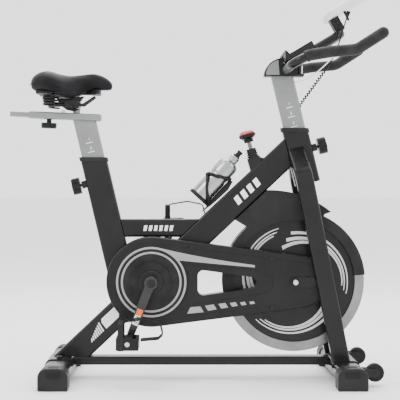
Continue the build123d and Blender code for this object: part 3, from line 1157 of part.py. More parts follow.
# ---- bottle and cage ----------------------------------------------------------------------
BOTTLE_LOW, BOTTLE_HIGH = (19, 523), (102.5, 614)
bottle_run = (BOTTLE_HIGH[0] - BOTTLE_LOW[0], BOTTLE_HIGH[1] - BOTTLE_LOW[1])
bottle_long = hypot(*bottle_run)
bottle_dir = (bottle_run[0] / bottle_long, bottle_run[1] / bottle_long)
BOTTLE_R = 29.5
bottle_foot = (BOTTLE_LOW[0], 0, BOTTLE_LOW[1])
bottle_up = Vector(bottle_dir[0], 0, bottle_dir[1])
bottle_out = Vector(-bottle_dir[1], 0, bottle_dir[0])
bottle_side = Plane(origin=bottle_foot, x_dir=bottle_out, z_dir=bottle_out.cross(bottle_up))
bottle_axis = Axis(bottle_foot, bottle_up)
with BuildPart() as bottle:
    with BuildSketch(bottle_side):
        with BuildLine():
            Polyline((0, 0), (BOTTLE_R - 4, 0), (BOTTLE_R, 4), (BOTTLE_R, 70), (BOTTLE_R - 2, 78),
                     (BOTTLE_R, 86), (BOTTLE_R, bottle_long - 6))
            ThreePointArc((BOTTLE_R, bottle_long - 6), (BOTTLE_R - 6, bottle_long + 7),
                          (14, bottle_long + 13))
            Polyline((14, bottle_long + 13), (14, bottle_long + 30), (8, bottle_long + 34),
                     (8, bottle_long + 50), (0, bottle_long + 52), (0, 0))
        make_face()
    revolve(axis=bottle_axis)
save(bottle, "bottle")

CAGE_WALL, CAGE_BAND, CAGE_BASE_WIDE = 3, 13, 22
cage_r = BOTTLE_R + GAP
with BuildPart() as bottle_cage:
    for band_at in (22, 92):
        rod(along(moved(BOTTLE_LOW, bottle_dir, band_at), bottle_dir), cage_r + CAGE_WALL, CAGE_BAND)
    rod(along(moved(BOTTLE_LOW, bottle_dir, -CAGE_WALL - GAP), bottle_dir), cage_r + CAGE_WALL, 12)
    # the spine reaches down to the diagonal
    with BuildSketch(along(moved(BOTTLE_LOW, bottle_dir, -CAGE_WALL - GAP), bottle_dir)):
        with Locations((cage_r + 14, 0)):
            Rectangle(34, CAGE_BASE_WIDE)
    extrude(amount=118)
    rod(along(moved(BOTTLE_LOW, bottle_dir, -GAP), bottle_dir), cage_r, 200, Mode.SUBTRACT)
    # open on the side that the bottle lifts towards
    with BuildSketch(along(moved(BOTTLE_LOW, bottle_dir, -20), bottle_dir)):
        with Locations((-60, 0)):
            Rectangle(120, 100)
    extrude(amount=200, mode=Mode.SUBTRACT)
    split(bisect_by=main_top_plane, keep=Keep.TOP)
save(bottle_cage, "bottle_cage")

# ---- transport wheels ---------------------------------------------------------------------
for wheel_side, wheel_name in ((-1, "right"), (1, "left")):
    with BuildPart() as wheel:
        middle_y = wheel_side * WHEEL_Y
        drill([(WHEEL_X, WHEEL_Z)], WHEEL_R, middle_y + WHEEL_WIDE / 2, WHEEL_WIDE, Mode.ADD)
        fillet(edges().filter_by(GeomType.CIRCLE), 3)
        drill([(WHEEL_X, WHEEL_Z)], WHEEL_PIN + SNUG, middle_y + WHEEL_WIDE, 2 * WHEEL_WIDE)
    save(wheel, f"transport_wheel_{wheel_name}")

# ---- cords --------------------------------------------------------------------------------
# both leave sockets under the console and go back into the handlebar post
SENSOR_R, LEAD_R = 4, 1.6     # the sensor cable is curly: this is its coils' outer radius
CORD_PART = 0.45              # share of the shorter run that an arc may take
sensor_route = ((437, -62, 1036), (424, -64, 996), (413, -58, 955), (395, -46, 916), (374, -34, 880),
                (353, -22, 850), (333, -10, 822), (309, -2, 788))
lead_route = ((439, -76, 1022), (437, -79, 993), (426, -77, 966), (411, -70, 940), (392, -59, 915),
              (370, -46, 893), (346, -32, 872), (320, -18, 856), (292, -10, 852))


def corner_radii(points):
    """The largest arc at each corner: a share of the shorter run, over the tangent of half the turn."""
    radii = []
    for before, corner, after in zip(points, points[1:], points[2:]):
        run_in, run_out = Vector(corner) - Vector(before), Vector(after) - Vector(corner)
        turn = run_in.get_angle(run_out)
        radii.append(CORD_PART * min(run_in.length, run_out.length) / tan(radians(turn) / 2))
    return radii


def cord_tube(points, radius, name):
    """A cord's solid: straight runs joined by tangent arcs."""
    radii = corner_radii(points)
    with BuildLine() as route:
        FilletPolyline(*points, radius=radii)
    with BuildSketch(Plane(origin=route.line @ 0, z_dir=route.line % 0)) as section:
        Circle(radius)
    sweep(section.sketch, path=route.line)
    length = route.wire().length
    print(name, "length", round(length, 1), "radii", [round(r) for r in radii])
    return pi * radius ** 2 * length


cords = {"sensor_cable": (sensor_route, SENSOR_R), "console_lead": (lead_route, LEAD_R)}
cord_solids = []
for cord_name, (cord_route, cord_r) in cords.items():
    with BuildPart() as cord:
        straight_volume = cord_tube(cord_route, cord_r, cord_name)
        print("  volume over section times length", round(cord.part.volume / straight_volume, 4))
    save(cord, cord_name)
    cord_solids.append(cord.part)

# the sockets under the console, the grommet and the lead's bush on the post's front face
SOCKET_LONG, GROMMET_R, GROMMET_LONG = 14, 7.5, 9
PLUG_FROM, PLUG_R, PLUG_LONG = (451, -76, 996), 4.5, 29       # the lead's plug slants up to the console


def fitting(tip, toward, radius, length):
    """A tapered sleeve from a cord's end back into the part that holds it."""
    heading = (Vector(tip) - Vector(toward)).normalized()
    base = Plane(origin=tip, z_dir=heading)
    with BuildSketch(base) as small:
        Circle(radius * 0.72)
    with BuildSketch(base.offset(length)) as large:
        Circle(radius)
    loft([small.sketch, large.sketch])


with BuildPart() as cable_fittings:
    fitting(sensor_route[0], sensor_route[1], 6, SOCKET_LONG)
    fitting(lead_route[0], PLUG_FROM, PLUG_R, PLUG_LONG)
    fitting(sensor_route[-1], sensor_route[-2], GROMMET_R, GROMMET_LONG)
    fitting(lead_route[-1], lead_route[-2], 5, GROMMET_LONG)
    for neighbour in (console.part, *cord_solids):
        add(neighbour, mode=Mode.SUBTRACT)
    with BuildSketch(along(moved(HEAD_TOP, HEAD_DOWN, -bar_post_run - 12), HEAD_DOWN)):
        RectangleRounded(BAR_POST_WIDTH, POST_DEPTH, POST_CORNER)
    extrude(amount=bar_post_run + 12, mode=Mode.SUBTRACT)
save(cable_fittings, "cable_fittings")
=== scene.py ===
"""Looks of the indoor spin bike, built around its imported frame.

Metres.  +X is the front of the bike, -Y its right-hand side with the belt drive, +Z up.
"""
import json
import math

import bmesh
import bpy
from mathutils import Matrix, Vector


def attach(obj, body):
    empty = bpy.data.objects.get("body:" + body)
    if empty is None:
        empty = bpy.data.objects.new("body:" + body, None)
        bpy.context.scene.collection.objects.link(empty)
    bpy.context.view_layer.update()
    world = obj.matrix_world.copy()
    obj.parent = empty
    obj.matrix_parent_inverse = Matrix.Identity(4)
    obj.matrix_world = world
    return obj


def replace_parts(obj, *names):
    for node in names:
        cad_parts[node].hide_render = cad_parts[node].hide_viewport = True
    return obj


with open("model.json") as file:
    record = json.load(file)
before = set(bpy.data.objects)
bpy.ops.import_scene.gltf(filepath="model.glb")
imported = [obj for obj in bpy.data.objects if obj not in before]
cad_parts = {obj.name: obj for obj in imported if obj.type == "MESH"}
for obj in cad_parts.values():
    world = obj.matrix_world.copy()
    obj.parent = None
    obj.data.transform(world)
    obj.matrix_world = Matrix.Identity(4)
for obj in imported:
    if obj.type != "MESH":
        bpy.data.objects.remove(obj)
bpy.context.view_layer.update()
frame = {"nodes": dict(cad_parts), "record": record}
NODES = frame["nodes"]

# ---- places shared with the frame, in metres --------------------------------------------------
WHEEL_AXIS = Vector((0.288, 0, 0.280))
CRANK = Vector((-0.121, 0, 0.280))
CRANK_DIR = Vector((-0.367, 0, -0.930))
MAIN_LOW = Vector((-0.345, 0, 0.067))
MAIN_DIR = Vector((0.271 + 0.345, 0, 0.647 - 0.067)).normalized()
MAIN_UP = Vector((-MAIN_DIR.z, 0, MAIN_DIR.x))
TUBE_SIDE = 0.020             # half depth of the frame tubes
WEB_SIDE = 0.018              # faces of the flywheel's web
PANEL_Y = -0.0745             # the belt guard's raised panel
STICKER = 0.0004              # thickness of a decal


# ---- node helpers -----------------------------------------------------------------------------
def new_material(name):
    """A material with its node tree, its shader and its links ready."""
    mat = bpy.data.materials.new(name)
    mat.use_nodes = True
    tree = mat.node_tree
    return mat, tree.nodes, tree.links, tree.nodes["Principled BSDF"]


def place(nodes, links, stretch=(1, 1, 1), centre=(0, 0, 0)):
    """Object coordinates about a centre, stretched."""
    coords = nodes.new("ShaderNodeTexCoord")
    mapping = nodes.new("ShaderNodeMapping")
    mapping.inputs["Location"].default_value = [-c * s for c, s in zip(centre, stretch)]
    mapping.inputs["Scale"].default_value = stretch
    links.new(coords.outputs["Object"], mapping.inputs["Vector"])
    return mapping.outputs["Vector"]


def noise(nodes, links, vector, scale, detail=4.0, rough=0.55):
    """A noise field."""
    node = nodes.new("ShaderNodeTexNoise")
    node.inputs["Scale"].default_value = scale
    node.inputs["Detail"].default_value = detail
    node.inputs["Roughness"].default_value = rough
    links.new(vector, node.inputs["Vector"])
    return node.outputs["Fac"]


def spread(nodes, links, value, low, high, start=0.3, end=0.7):
    """Maps a field's middle range onto a range of numbers."""
    node = nodes.new("ShaderNodeMapRange")
    node.inputs["From Min"].default_value = start
    node.inputs["From Max"].default_value = end
    node.inputs["To Min"].default_value = low
    node.inputs["To Max"].default_value = high
    links.new(value, node.inputs["Value"])
    return node.outputs["Result"]


def blend_colours(nodes, links, factor, dark, light):
    """Mixes two colours by a field."""
    node = nodes.new("ShaderNodeMix")
    node.data_type = "RGBA"
    node.inputs["A"].default_value = (*dark, 1)
    node.inputs["B"].default_value = (*light, 1)
    links.new(factor, node.inputs["Factor"])
    return node.outputs["Result"]


def emboss(nodes, links, shader, height, strength, distance):
    """Bumps the surface by a field."""
    node = nodes.new("ShaderNodeBump")
    node.inputs["Strength"].default_value = strength
    node.inputs["Distance"].default_value = distance
    links.new(height, node.inputs["Height"])
    links.new(node.outputs["Normal"], shader.inputs["Normal"])


def surface(name, dark, light, rough, metal=0.0, blotch=14, grain=900, bump=0.15, deep=0.00004, coat=0.0,
            stretch=(1, 1, 1)):
    """The general finish: mottled colour, uneven gloss and a fine grain."""
    mat, nodes, links, shader = new_material(name)
    vector = place(nodes, links, stretch)
    patches = spread(nodes, links, noise(nodes, links, vector, blotch), 0, 1)
    links.new(blend_colours(nodes, links, patches, dark, light), shader.inputs["Base Color"])
    links.new(spread(nodes, links, noise(nodes, links, vector, blotch * 5), *rough), shader.inputs["Roughness"])
    emboss(nodes, links, shader, noise(nodes, links, vector, grain, 2.0), bump, deep)
    shader.inputs["Metallic"].default_value = metal
    shader.inputs["Coat Weight"].default_value = coat
    shader.inputs["Coat Roughness"].default_value = 0.12
    shader.inputs["Specular IOR Level"].default_value = 0.18 if light[0] < 0.02 and not metal else 0.5
    return mat


def turned(name, centre, dark, light, rough, rings=900, metal=1.0, bump=0.25):
    """Metal turned on a lathe about the Y axis through a centre: fine concentric lines."""
    mat, nodes, links, shader = new_material(name)
    vector = place(nodes, links, (1, 0.0, 1), centre)
    length = nodes.new("ShaderNodeVectorMath")
    length.operation = "LENGTH"
    links.new(vector, length.inputs[0])
    combine = nodes.new("ShaderNodeCombineXYZ")
    links.new(length.outputs["Value"], combine.inputs["X"])
    lines = noise(nodes, links, combine.outputs["Vector"], rings, 3.0, 0.7)
    clouds = noise(nodes, links, place(nodes, links), 9)
    links.new(blend_colours(nodes, links, spread(nodes, links, clouds, 0, 1), dark, light),
              shader.inputs["Base Color"])
    links.new(spread(nodes, links, lines, *rough), shader.inputs["Roughness"])
    emboss(nodes, links, shader, lines, bump, 0.0001)
    shader.inputs["Metallic"].default_value = metal
    return mat


def leather(name, dark, light):
    """Pebbled vinyl: small cells with creases between them."""
    mat, nodes, links, shader = new_material(name)
    vector = place(nodes, links)
    cells = nodes.new("ShaderNodeTexVoronoi")
    cells.feature = "DISTANCE_TO_EDGE"
    cells.inputs["Scale"].default_value = 420
    cells.inputs["Randomness"].default_value = 0.9
    links.new(vector, cells.inputs["Vector"])
    pebble = spread(nodes, links, cells.outputs["Distance"], 0, 1, 0.0, 0.22)
    worn = spread(nodes, links, noise(nodes, links, vector, 11, 5.0), 0, 1)
    links.new(blend_colours(nodes, links, worn, dark, light), shader.inputs["Base Color"])
    links.new(spread(nodes, links, noise(nodes, links, vector, 45), 0.40, 0.52), shader.inputs["Roughness"])
    emboss(nodes, links, shader, pebble, 0.22, 0.0001)
    shader.inputs["Specular IOR Level"].default_value = 0.08
    return mat


def foam(name, dark, light):
    """Closed-cell foam: matt with open pores."""
    mat, nodes, links, shader = new_material(name)
    vector = place(nodes, links)
    pores = nodes.new("ShaderNodeTexVoronoi")
    pores.inputs["Scale"].default_value = 900
    links.new(vector, pores.inputs["Vector"])
    depth = spread(nodes, links, pores.outputs["Distance"], 0, 1, 0.05, 0.5)
    tone = spread(nodes, links, noise(nodes, links, vector, 30), 0, 1)
    links.new(blend_colours(nodes, links, tone, dark, light), shader.inputs["Base Color"])
    links.new(spread(nodes, links, noise(nodes, links, vector, 90), 0.46, 0.62), shader.inputs["Roughness"])
    emboss(nodes, links, shader, depth, 0.3, 0.0001)
    shader.inputs["Specular IOR Level"].default_value = 0.16
    return mat


def floor_white(name):
    """The studio's floor: pale and faintly uneven."""
    return surface(name, (0.86, 0.86, 0.87), (0.9, 0.9, 0.9), (0.6, 0.75), blotch=3, grain=60, bump=0.02)


# ---- the record's finishes --------------------------------------------------------------------
BLACK, SOOT, COAL = (0.0035, 0.0035, 0.004), (0.0075, 0.0075, 0.008), (0.015, 0.015, 0.016)
FINISH = {
    "black_paint": surface("black_paint", BLACK, (0.0065, 0.0065, 0.007), (0.26, 0.36), coat=0.12, grain=300,
                           bump=0.01),
    "cap_plastic": surface("cap_plastic", SOOT, COAL, (0.38, 0.55), grain=1500, bump=0.3),
    "black_hardware": surface("black_hardware", BLACK, COAL, (0.3, 0.5), metal=0.6, blotch=60),
    "bright_steel": surface("bright_steel", (0.5, 0.5, 0.51), (0.66, 0.66, 0.68), (0.2, 0.38), metal=1.0, blotch=70,
                            stretch=(1, 0.2, 1)),
    "guard_plastic": surface("guard_plastic", BLACK, SOOT, (0.3, 0.42), coat=0.06, grain=1300, bump=0.2),
    "silver_trim": surface("silver_trim", (0.24, 0.24, 0.245), (0.30, 0.30, 0.305), (0.3, 0.45), metal=0.55,
                           blotch=30, grain=1800, stretch=(0.12, 1, 1)),
    "rubber_black": surface("rubber_black", SOOT, COAL, (0.55, 0.7), grain=1100, bump=0.4),
    "belt_rubber": surface("belt_rubber", BLACK, SOOT, (0.55, 0.7), grain=400, bump=0.5),
    "chrome_rim": turned("chrome_rim", WHEEL_AXIS, (0.15, 0.15, 0.153), (0.24, 0.24, 0.243), (0.2, 0.4)),
    "pulley_metal": turned("pulley_metal", CRANK, (0.4, 0.4, 0.41), (0.5, 0.5, 0.5), (0.3, 0.5)),
    "crank_steel": surface("crank_steel", BLACK, SOOT, (0.25, 0.4), metal=0.3, coat=0.25, blotch=40),
    "dust_grey": surface("dust_grey", BLACK, (0.018, 0.018, 0.019), (0.42, 0.55), grain=1600, bump=0.3),
    "pedal_resin": surface("pedal_resin", BLACK, SOOT, (0.4, 0.6), grain=1300, bump=0.35),
    "silver_paint": surface("silver_paint", (0.17, 0.172, 0.175), (0.21, 0.213, 0.216), (0.32, 0.44), metal=0.5,
                            grain=2200, bump=0.12, coat=0.15),
    "knob_plastic": surface("knob_plastic", BLACK, SOOT, (0.3, 0.45), grain=1200, bump=0.25),
    "saddle_vinyl": leather("saddle_vinyl", BLACK, (0.014, 0.014, 0.015)),
    "saddle_shell": surface("saddle_shell", BLACK, SOOT, (0.45, 0.6), grain=1200, bump=0.3),
    "grip_foam": foam("grip_foam", SOOT, (0.02, 0.02, 0.021)),
    "shelf_plastic": surface("shelf_plastic", SOOT, COAL, (0.4, 0.55), grain=1500, bump=0.3),
    "console_plastic": surface("console_plastic", (0.66, 0.67, 0.68), (0.72, 0.73, 0.74), (0.28, 0.4), grain=1500,
                               bump=0.12, coat=0.2),
    "cable_jacket": surface("cable_jacket", BLACK, SOOT, (0.4, 0.55), grain=1400, bump=0.25),
    "brake_steel": surface("brake_steel", (0.1, 0.1, 0.105), (0.16, 0.16, 0.165), (0.25, 0.4), metal=1.0, blotch=60),
    "brake_knob_red": surface("brake_knob_red", (0.42, 0.012, 0.02), (0.5, 0.02, 0.03), (0.2, 0.32), coat=0.5),
    "bottle_metal": surface("bottle_metal", (0.3, 0.305, 0.31), (0.38, 0.38, 0.385), (0.24, 0.34), metal=1.0,
                            blotch=20, grain=1500, stretch=(1, 1, 1)),
}
WHITE_INK = surface("white_ink", (0.86, 0.86, 0.86), (0.92, 0.92, 0.92), (0.4, 0.55), blotch=40, bump=0.05)
SILVER_INK = surface("silver_ink", (0.48, 0.48, 0.49), (0.6, 0.6, 0.61), (0.35, 0.5), metal=0.3, blotch=40)
ORANGE_INK = surface("orange_ink", (0.75, 0.12, 0.02), (0.82, 0.17, 0.03), (0.4, 0.5), blotch=40)
# dark ink for the crank arm's printed bars, and painted shade in the stabilizer caps' recesses
DARK_INK_AND_SHADE = surface("dark_ink_and_shade", BLACK, SOOT, (0.4, 0.5))

for entry in frame["record"]["subparts"]:
    for material_slot in NODES[entry["node"]].material_slots:
        material_slot.material = FINISH[entry["material_slot"]]


# ---- piece helpers ----------------------------------------------------------------------------
def piece(name, verts, faces, mat, body, slot, smooth=True):
    """A mesh piece that rides on a body."""
    mesh = bpy.data.meshes.new(name)
    mesh.from_pydata([tuple(v) for v in verts], [], faces)
    obj = bpy.data.objects.new(name, mesh)
    bpy.context.scene.collection.objects.link(obj)
    tidy = bmesh.new()
    tidy.from_mesh(mesh)
    bmesh.ops.recalc_face_normals(tidy, faces=tidy.faces)
    tidy.to_mesh(mesh)
    tidy.free()
    mesh.materials.append(mat)
    for polygon in mesh.polygons:
        polygon.use_smooth = smooth
    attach(obj, body)
    return obj


def prism_mesh(outline, low_y, high_y):
    """Vertices and faces of an (x, z) outline carried across the bike."""
    count = len(outline)
    verts = [(x, low_y, z) for x, z in outline] + [(x, high_y, z) for x, z in outline]
    faces = [list(range(count)), list(range(2 * count - 1, count - 1, -1))]
    faces += [(i, (i + 1) % count, count + (i + 1) % count, count + i) for i in range(count)]
    return verts, faces


def prisms(name, outlines, low_y, high_y, mat, body, slot):
    """Several prisms as one piece."""
    verts, faces = [], []
    for outline in outlines:
        more_verts, more_faces = prism_mesh(outline, low_y, high_y)
        faces += [[i + len(verts) for i in face] for face in more_faces]
        verts += more_verts
    return piece(name, verts, faces, mat, body, slot, smooth=False)


def soften(obj, width, segments=2):
    """Rounds a piece's edges."""
    bevel = obj.modifiers.new("round", "BEVEL")
    bevel.width = width
    bevel.segments = segments
    bevel.limit_method = "ANGLE"
    return obj


def turned_piece(name, origin, axis, profile, mat, body, slot, steps=72):
    """A solid of revolution from (radius, height) pairs along an axis; the ends close on the axis."""
    axis = Vector(axis).normalized()
    side = axis.orthogonal().normalized()
    other = axis.cross(side)
    verts, faces = [], []
    for radius, height in profile:
        for step in range(steps):
            turn = 2 * math.pi * step / steps
            verts.append(origin + axis * height + (side * math.cos(turn) + other * math.sin(turn)) * radius)
    for ring in range(len(profile) - 1):
        for step in range(steps):
            a, b = ring * steps + step, ring * steps + (step + 1) % steps
            faces.append((a, b, b + steps, a + steps))
    last = (len(profile) - 1) * steps
    faces += [list(range(steps)), list(range(last, last + steps))]
    obj = piece(name, verts, faces, mat, body, slot)
    obj.data.shade_smooth()
    crisp = obj.modifiers.new("crisp", "EDGE_SPLIT")
    crisp.split_angle = math.radians(40)
    return obj


def rounded_profile(radius, height, edge, steps=5):
    """A plain disc or drum's profile with a rounded far edge."""
    arc = [(radius - edge + edge * math.cos(a), height - edge + edge * math.sin(a))
           for a in (math.pi / 2 * i / steps for i in range(steps + 1))]
    return [(radius, 0)] + arc


def square_to(ahead, before):
    """A unit vector square to a line's direction, turned as little as can be from the one before it."""
    if before is None:
        return ahead.orthogonal().normalized()
    return (before - ahead * before.dot(ahead)).normalized()


def tube_along(name, points, radii, mat, body, slot, steps=28, dome=True):
    """A round tube along a list of points, with a radius at each and a domed start."""
    frames, verts, faces = [], [], []
    normal = None
    for i, point in enumerate(points):
        ahead = points[min(i + 1, len(points) - 1)] - points[max(i - 1, 0)]
        ahead.normalize()
        normal = square_to(ahead, normal)
        frames.append((point, ahead, normal, radii[i]))
    if dome:
        point, ahead, normal, radius = frames[0]
        cap = [(point - ahead * radius * math.sin(a), ahead, normal, max(radius * math.cos(a), 0.0002))
               for a in (math.pi / 2 * i / 8 for i in range(8, 0, -1))]
        frames = cap + frames
    for point, ahead, normal, radius in frames:
        other = ahead.cross(normal)
        for step in range(steps):
            turn = 2 * math.pi * step / steps
            verts.append(point + (normal * math.cos(turn) + other * math.sin(turn)) * radius)
    for ring in range(len(frames) - 1):
        for step in range(steps):
            a, b = ring * steps + step, ring * steps + (step + 1) % steps
            faces.append((a, b, b + steps, a + steps))
    last = (len(frames) - 1) * steps
    faces += [list(range(steps)), list(range(last, last + steps))]
    return piece(name, verts, faces, mat, body, slot)


def spline_object(name, points, radius, mat, body):
    """A cord: one NURBS spline with the given control points, in metres."""
    curve = bpy.data.curves.new(name, "CURVE")
    curve.dimensions = "3D"
    spline = curve.splines.new("NURBS")
    spline.points.add(len(points) - 1)
    for control, point in zip(spline.points, points):
        control.co = (*point, 1)
    spline.order_u = 3
    spline.use_endpoint_u = True
    curve.resolution_u = 16
    curve.bevel_depth = radius
    curve.bevel_resolution = 5
    curve.materials.append(mat)
    obj = bpy.data.objects.new(name, curve)
    bpy.context.scene.collection.objects.link(obj)
    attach(obj, body)
    return obj


def spline_points(obj):
    """Points of a spline object's own line, read from the curve without its bevel."""
    bare = obj.copy()
    bare.data = obj.data.copy()
    bare.data.bevel_depth = 0
    bpy.context.scene.collection.objects.link(bare)
    bpy.context.view_layer.update()
    mesh = bpy.data.meshes.new_from_object(bare.evaluated_get(bpy.context.evaluated_depsgraph_get()))
    points = [bare.matrix_world @ v.co for v in mesh.vertices]
    bpy.data.objects.remove(bare)
    bpy.data.meshes.remove(mesh)
    return points


# ---- camera, lights and floor -----------------------------------------------------------------
camera = bpy.data.cameras.new("camera")
camera.sensor_width = 36
camera.lens = 105.9
camera.shift_x, camera.shift_y = 0.055, -0.045
camera_object = bpy.data.objects.new("camera", camera)
camera_object.location = (-0.045, -3.412, 0.564)
camera_object.rotation_euler = (math.pi / 2, 0, 0)
bpy.context.scene.collection.objects.link(camera_object)
bpy.context.scene.camera = camera_object


def soft_box(name, location, target, width, height, power):
    """A rectangular studio light aimed at a point."""
    light = bpy.data.lights.new(name, "AREA")
    light.shape = "RECTANGLE"
    light.size, light.size_y = width, height
    light.energy = power
    obj = bpy.data.objects.new(name, light)
    obj.location = location
    obj.rotation_euler = (Vector(target) - Vector(location)).to_track_quat("-Z", "Y").to_euler()
    bpy.context.scene.collection.objects.link(obj)


soft_box("key", (-2.4, -2.0, 2.6), (0, 0, 0.5), 1.1, 1.0, 45)
soft_box("fill", (2.9, -1.4, 1.7), (0, 0, 0.5), 0.6, 1.8, 30)
soft_box("top", (0, 0.5, 3.4), (0, 0.6, 0.0), 3.4, 1.6, 90)
soft_box("back", (0.4, 2.0, 2.6), (0, 0, 0.6), 2.4, 0.8, 40)

world = bpy.data.worlds.new("studio")
world.use_nodes = True
world.node_tree.nodes["Background"].inputs["Color"].default_value = (1, 1, 1, 1)
world.node_tree.nodes["Background"].inputs["Strength"].default_value = 2.2
bpy.context.scene.world = world


FLOOR_HALF = 40        # far past anything the camera sees


def studio_floor():
    """A wide pale floor, open on every side so that the bike can be seen from all round."""
    mesh = bpy.data.meshes.new("floor")
    mesh.from_pydata([(x, y, 0) for x, y in ((-FLOOR_HALF, -FLOOR_HALF), (FLOOR_HALF, -FLOOR_HALF),
                                            (FLOOR_HALF, FLOOR_HALF), (-FLOOR_HALF, FLOOR_HALF))],
                     [], [(0, 1, 2, 3)])
    mesh.materials.append(floor_white("floor_paint"))
    obj = bpy.data.objects.new("floor", mesh)
    bpy.context.scene.collection.objects.link(obj)


studio_floor()

# ---- cords: both run from the handlebar post to the console -----------------------------------
SENSOR_ROUTE = ((0.437, -0.062, 1.036), (0.424, -0.064, 0.996), (0.413, -0.058, 0.955), (0.395, -0.046, 0.916),
                (0.374, -0.034, 0.880), (0.353, -0.022, 0.850), (0.333, -0.010, 0.822), (0.309, -0.002, 0.788))
LEAD_ROUTE = ((0.439, -0.076, 1.022), (0.437, -0.079, 0.993), (0.426, -0.077, 0.966), (0.411, -0.070, 0.940),
              (0.392, -0.059, 0.915), (0.370, -0.046, 0.893), (0.346, -0.032, 0.872), (0.320, -0.018, 0.856),
              (0.292, -0.010, 0.852))


def curly(name, line, start, radius, wire, pitch, mat, body):
    """A curly cord along a line: plain up to start, then wound in a helix about the line."""
    lengths = [0.0]
    for a, b in zip(line, line[1:]):
        lengths.append(lengths[-1] + (b - a).length)
    total, per_turn, ramp = lengths[-1], 14, 0.008
    stations = [start * i / 30 for i in range(30)]
    turns = int((total - 0.001 - start) / pitch * per_turn)
    stations += [start + (total - 0.001 - start) * i / turns for i in range(turns + 1)]
    points, normal, leg = [], None, 0
    for here in stations:
        while leg < len(line) - 2 and lengths[leg + 1] < here:
            leg += 1
        share = (here - lengths[leg]) / max(lengths[leg + 1] - lengths[leg], 1e-9)
        point = line[leg].lerp(line[leg + 1], share)
        ahead = (line[leg + 1] - line[leg]).normalized()
        normal = square_to(ahead, normal)
        turn = 2 * math.pi * max(here - start, 0) / pitch
        reach = radius * min(max((here - start) / ramp, 0), 1, max((total - here) / ramp, 0) + 0.2)
        points.append(point + (normal * math.cos(turn) + ahead.cross(normal) * math.sin(turn)) * reach)
    return tube_along(name, points, [wire] * len(points), mat, body, "cable_jacket", steps=10, dome=False)


sensor_route = spline_object("sensor_route", SENSOR_ROUTE, 0.004, FINISH["cable_jacket"], "bar_stem")
sensor_line = spline_points(sensor_route)
bpy.data.objects.remove(sensor_route)
sensor_cable = curly("sensor_cord", sensor_line, 0.085, 0.0033, 0.0019, 0.0092, FINISH["cable_jacket"], "bar_stem")
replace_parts(sensor_cable, "sensor_cable")

lead = spline_object("console_cord", LEAD_ROUTE, 0.0016, WHITE_INK, "bar_stem")
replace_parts(lead, "console_lead")


# ---- crank and flywheel details ---------------------------------------------------------------
def swoosh(start, end, width_start, width_end, steps=22):
    """Outline about the wheel's axis of a curved band from (angle, radius) to (angle, radius)."""
    edges = ([], [])
    for i in range(steps + 1):
        share = i / steps
        angle = math.radians(start[0] + (end[0] - start[0]) * share)
        radius = start[1] + (end[1] - start[1]) * math.sin(share * math.pi / 2) ** 1.2
        half = (width_start + (width_end - width_start) * share) / 2
        for side, edge in zip((1, -1), edges):
            edge.append((WHEEL_AXIS.x + (radius + side * half) * math.cos(angle),
                         WHEEL_AXIS.z + (radius + side * half) * math.sin(angle)))
    return edges[0] + edges[1][::-1]


# Each blade: where its three bars start and end, as (degrees, radius), and their widths.
BLADE_BARS = (((109, 0.099), (-6, 0.140), 0.0110, 0.0030),
              ((100, 0.118), (-11, 0.147), 0.0100, 0.0026),
              ((93, 0.137), (-14, 0.156), 0.0086, 0.0024))
blade_outlines = [swoosh((start[0] + turn, start[1]), (end[0] + turn, end[1]), wide, narrow)
                  for turn in (0, 120, 240) for start, end, wide, narrow in BLADE_BARS]
for side, label in ((-1, "right"), (1, "left")):
    face = side * WEB_SIDE
    prisms("wheel_blades_" + label, blade_outlines, face, face + side * STICKER, SILVER_INK, "flywheel",
           "silver_trim")


def bolt(name, origin, axis, radius, height, mat, body, slot, socket=0.45):
    """A socket-head bolt's visible head: a chamfered drum with a hexagonal well."""
    axis = Vector(axis).normalized()
    side = axis.orthogonal().normalized()
    other = axis.cross(side)
    steps, well = 36, radius * socket
    rings = []
    for reach, lift in ((1, 0), (1, height - radius * 0.12), (0.88, height)):
        rings.append([origin + axis * lift + (side * math.cos(a) + other * math.sin(a)) * radius * reach
                      for a in (2 * math.pi * i / steps for i in range(steps))])
    for lift in (height, height * 0.35):
        hexagon = []
        for i in range(steps):
            corner, share = divmod(i, steps // 6)
            a, b = (math.radians(60 * c) for c in (corner, corner + 1))
            share /= steps // 6
            u = math.cos(a) + (math.cos(b) - math.cos(a)) * share
            v = math.sin(a) + (math.sin(b) - math.sin(a)) * share
            hexagon.append(origin + axis * lift + (side * u + other * v) * well)
        rings.append(hexagon)
    verts = [point for ring in rings for point in ring]
    faces = [(k * steps + i, k * steps + (i + 1) % steps,
              (k + 1) * steps + (i + 1) % steps, (k + 1) * steps + i)
             for k in range(len(rings) - 1) for i in range(steps)]
    last = (len(rings) - 1) * steps
    faces += [list(range(steps))[::-1], list(range(last, last + steps))]
    return piece(name, verts, faces, mat, body, slot, smooth=False)


# Crank bolts, one each side, in the bosses of the arms.
for side, label in ((-1, "right"), (1, "left")):
    bolt("crank_bolt_" + label, CRANK + Vector((0, side * 0.1178, 0)), (0, side, 0), 0.0125, 0.0045,
         FINISH["black_hardware"], "crankset", "black_hardware", socket=0.5)


def on_arm(along, across):
    """The (x, z) place on the right crank arm: along it from the crank's axis, and across it."""
    return (CRANK.x + CRANK_DIR.x * along - CRANK_DIR.z * across,
            CRANK.z + CRANK_DIR.z * along + CRANK_DIR.x * across)


def arm_band(start, end, half):
    """A decal's outline on the arm."""
    return [on_arm(start, -half), on_arm(end, -half), on_arm(end, half), on_arm(start, half)]
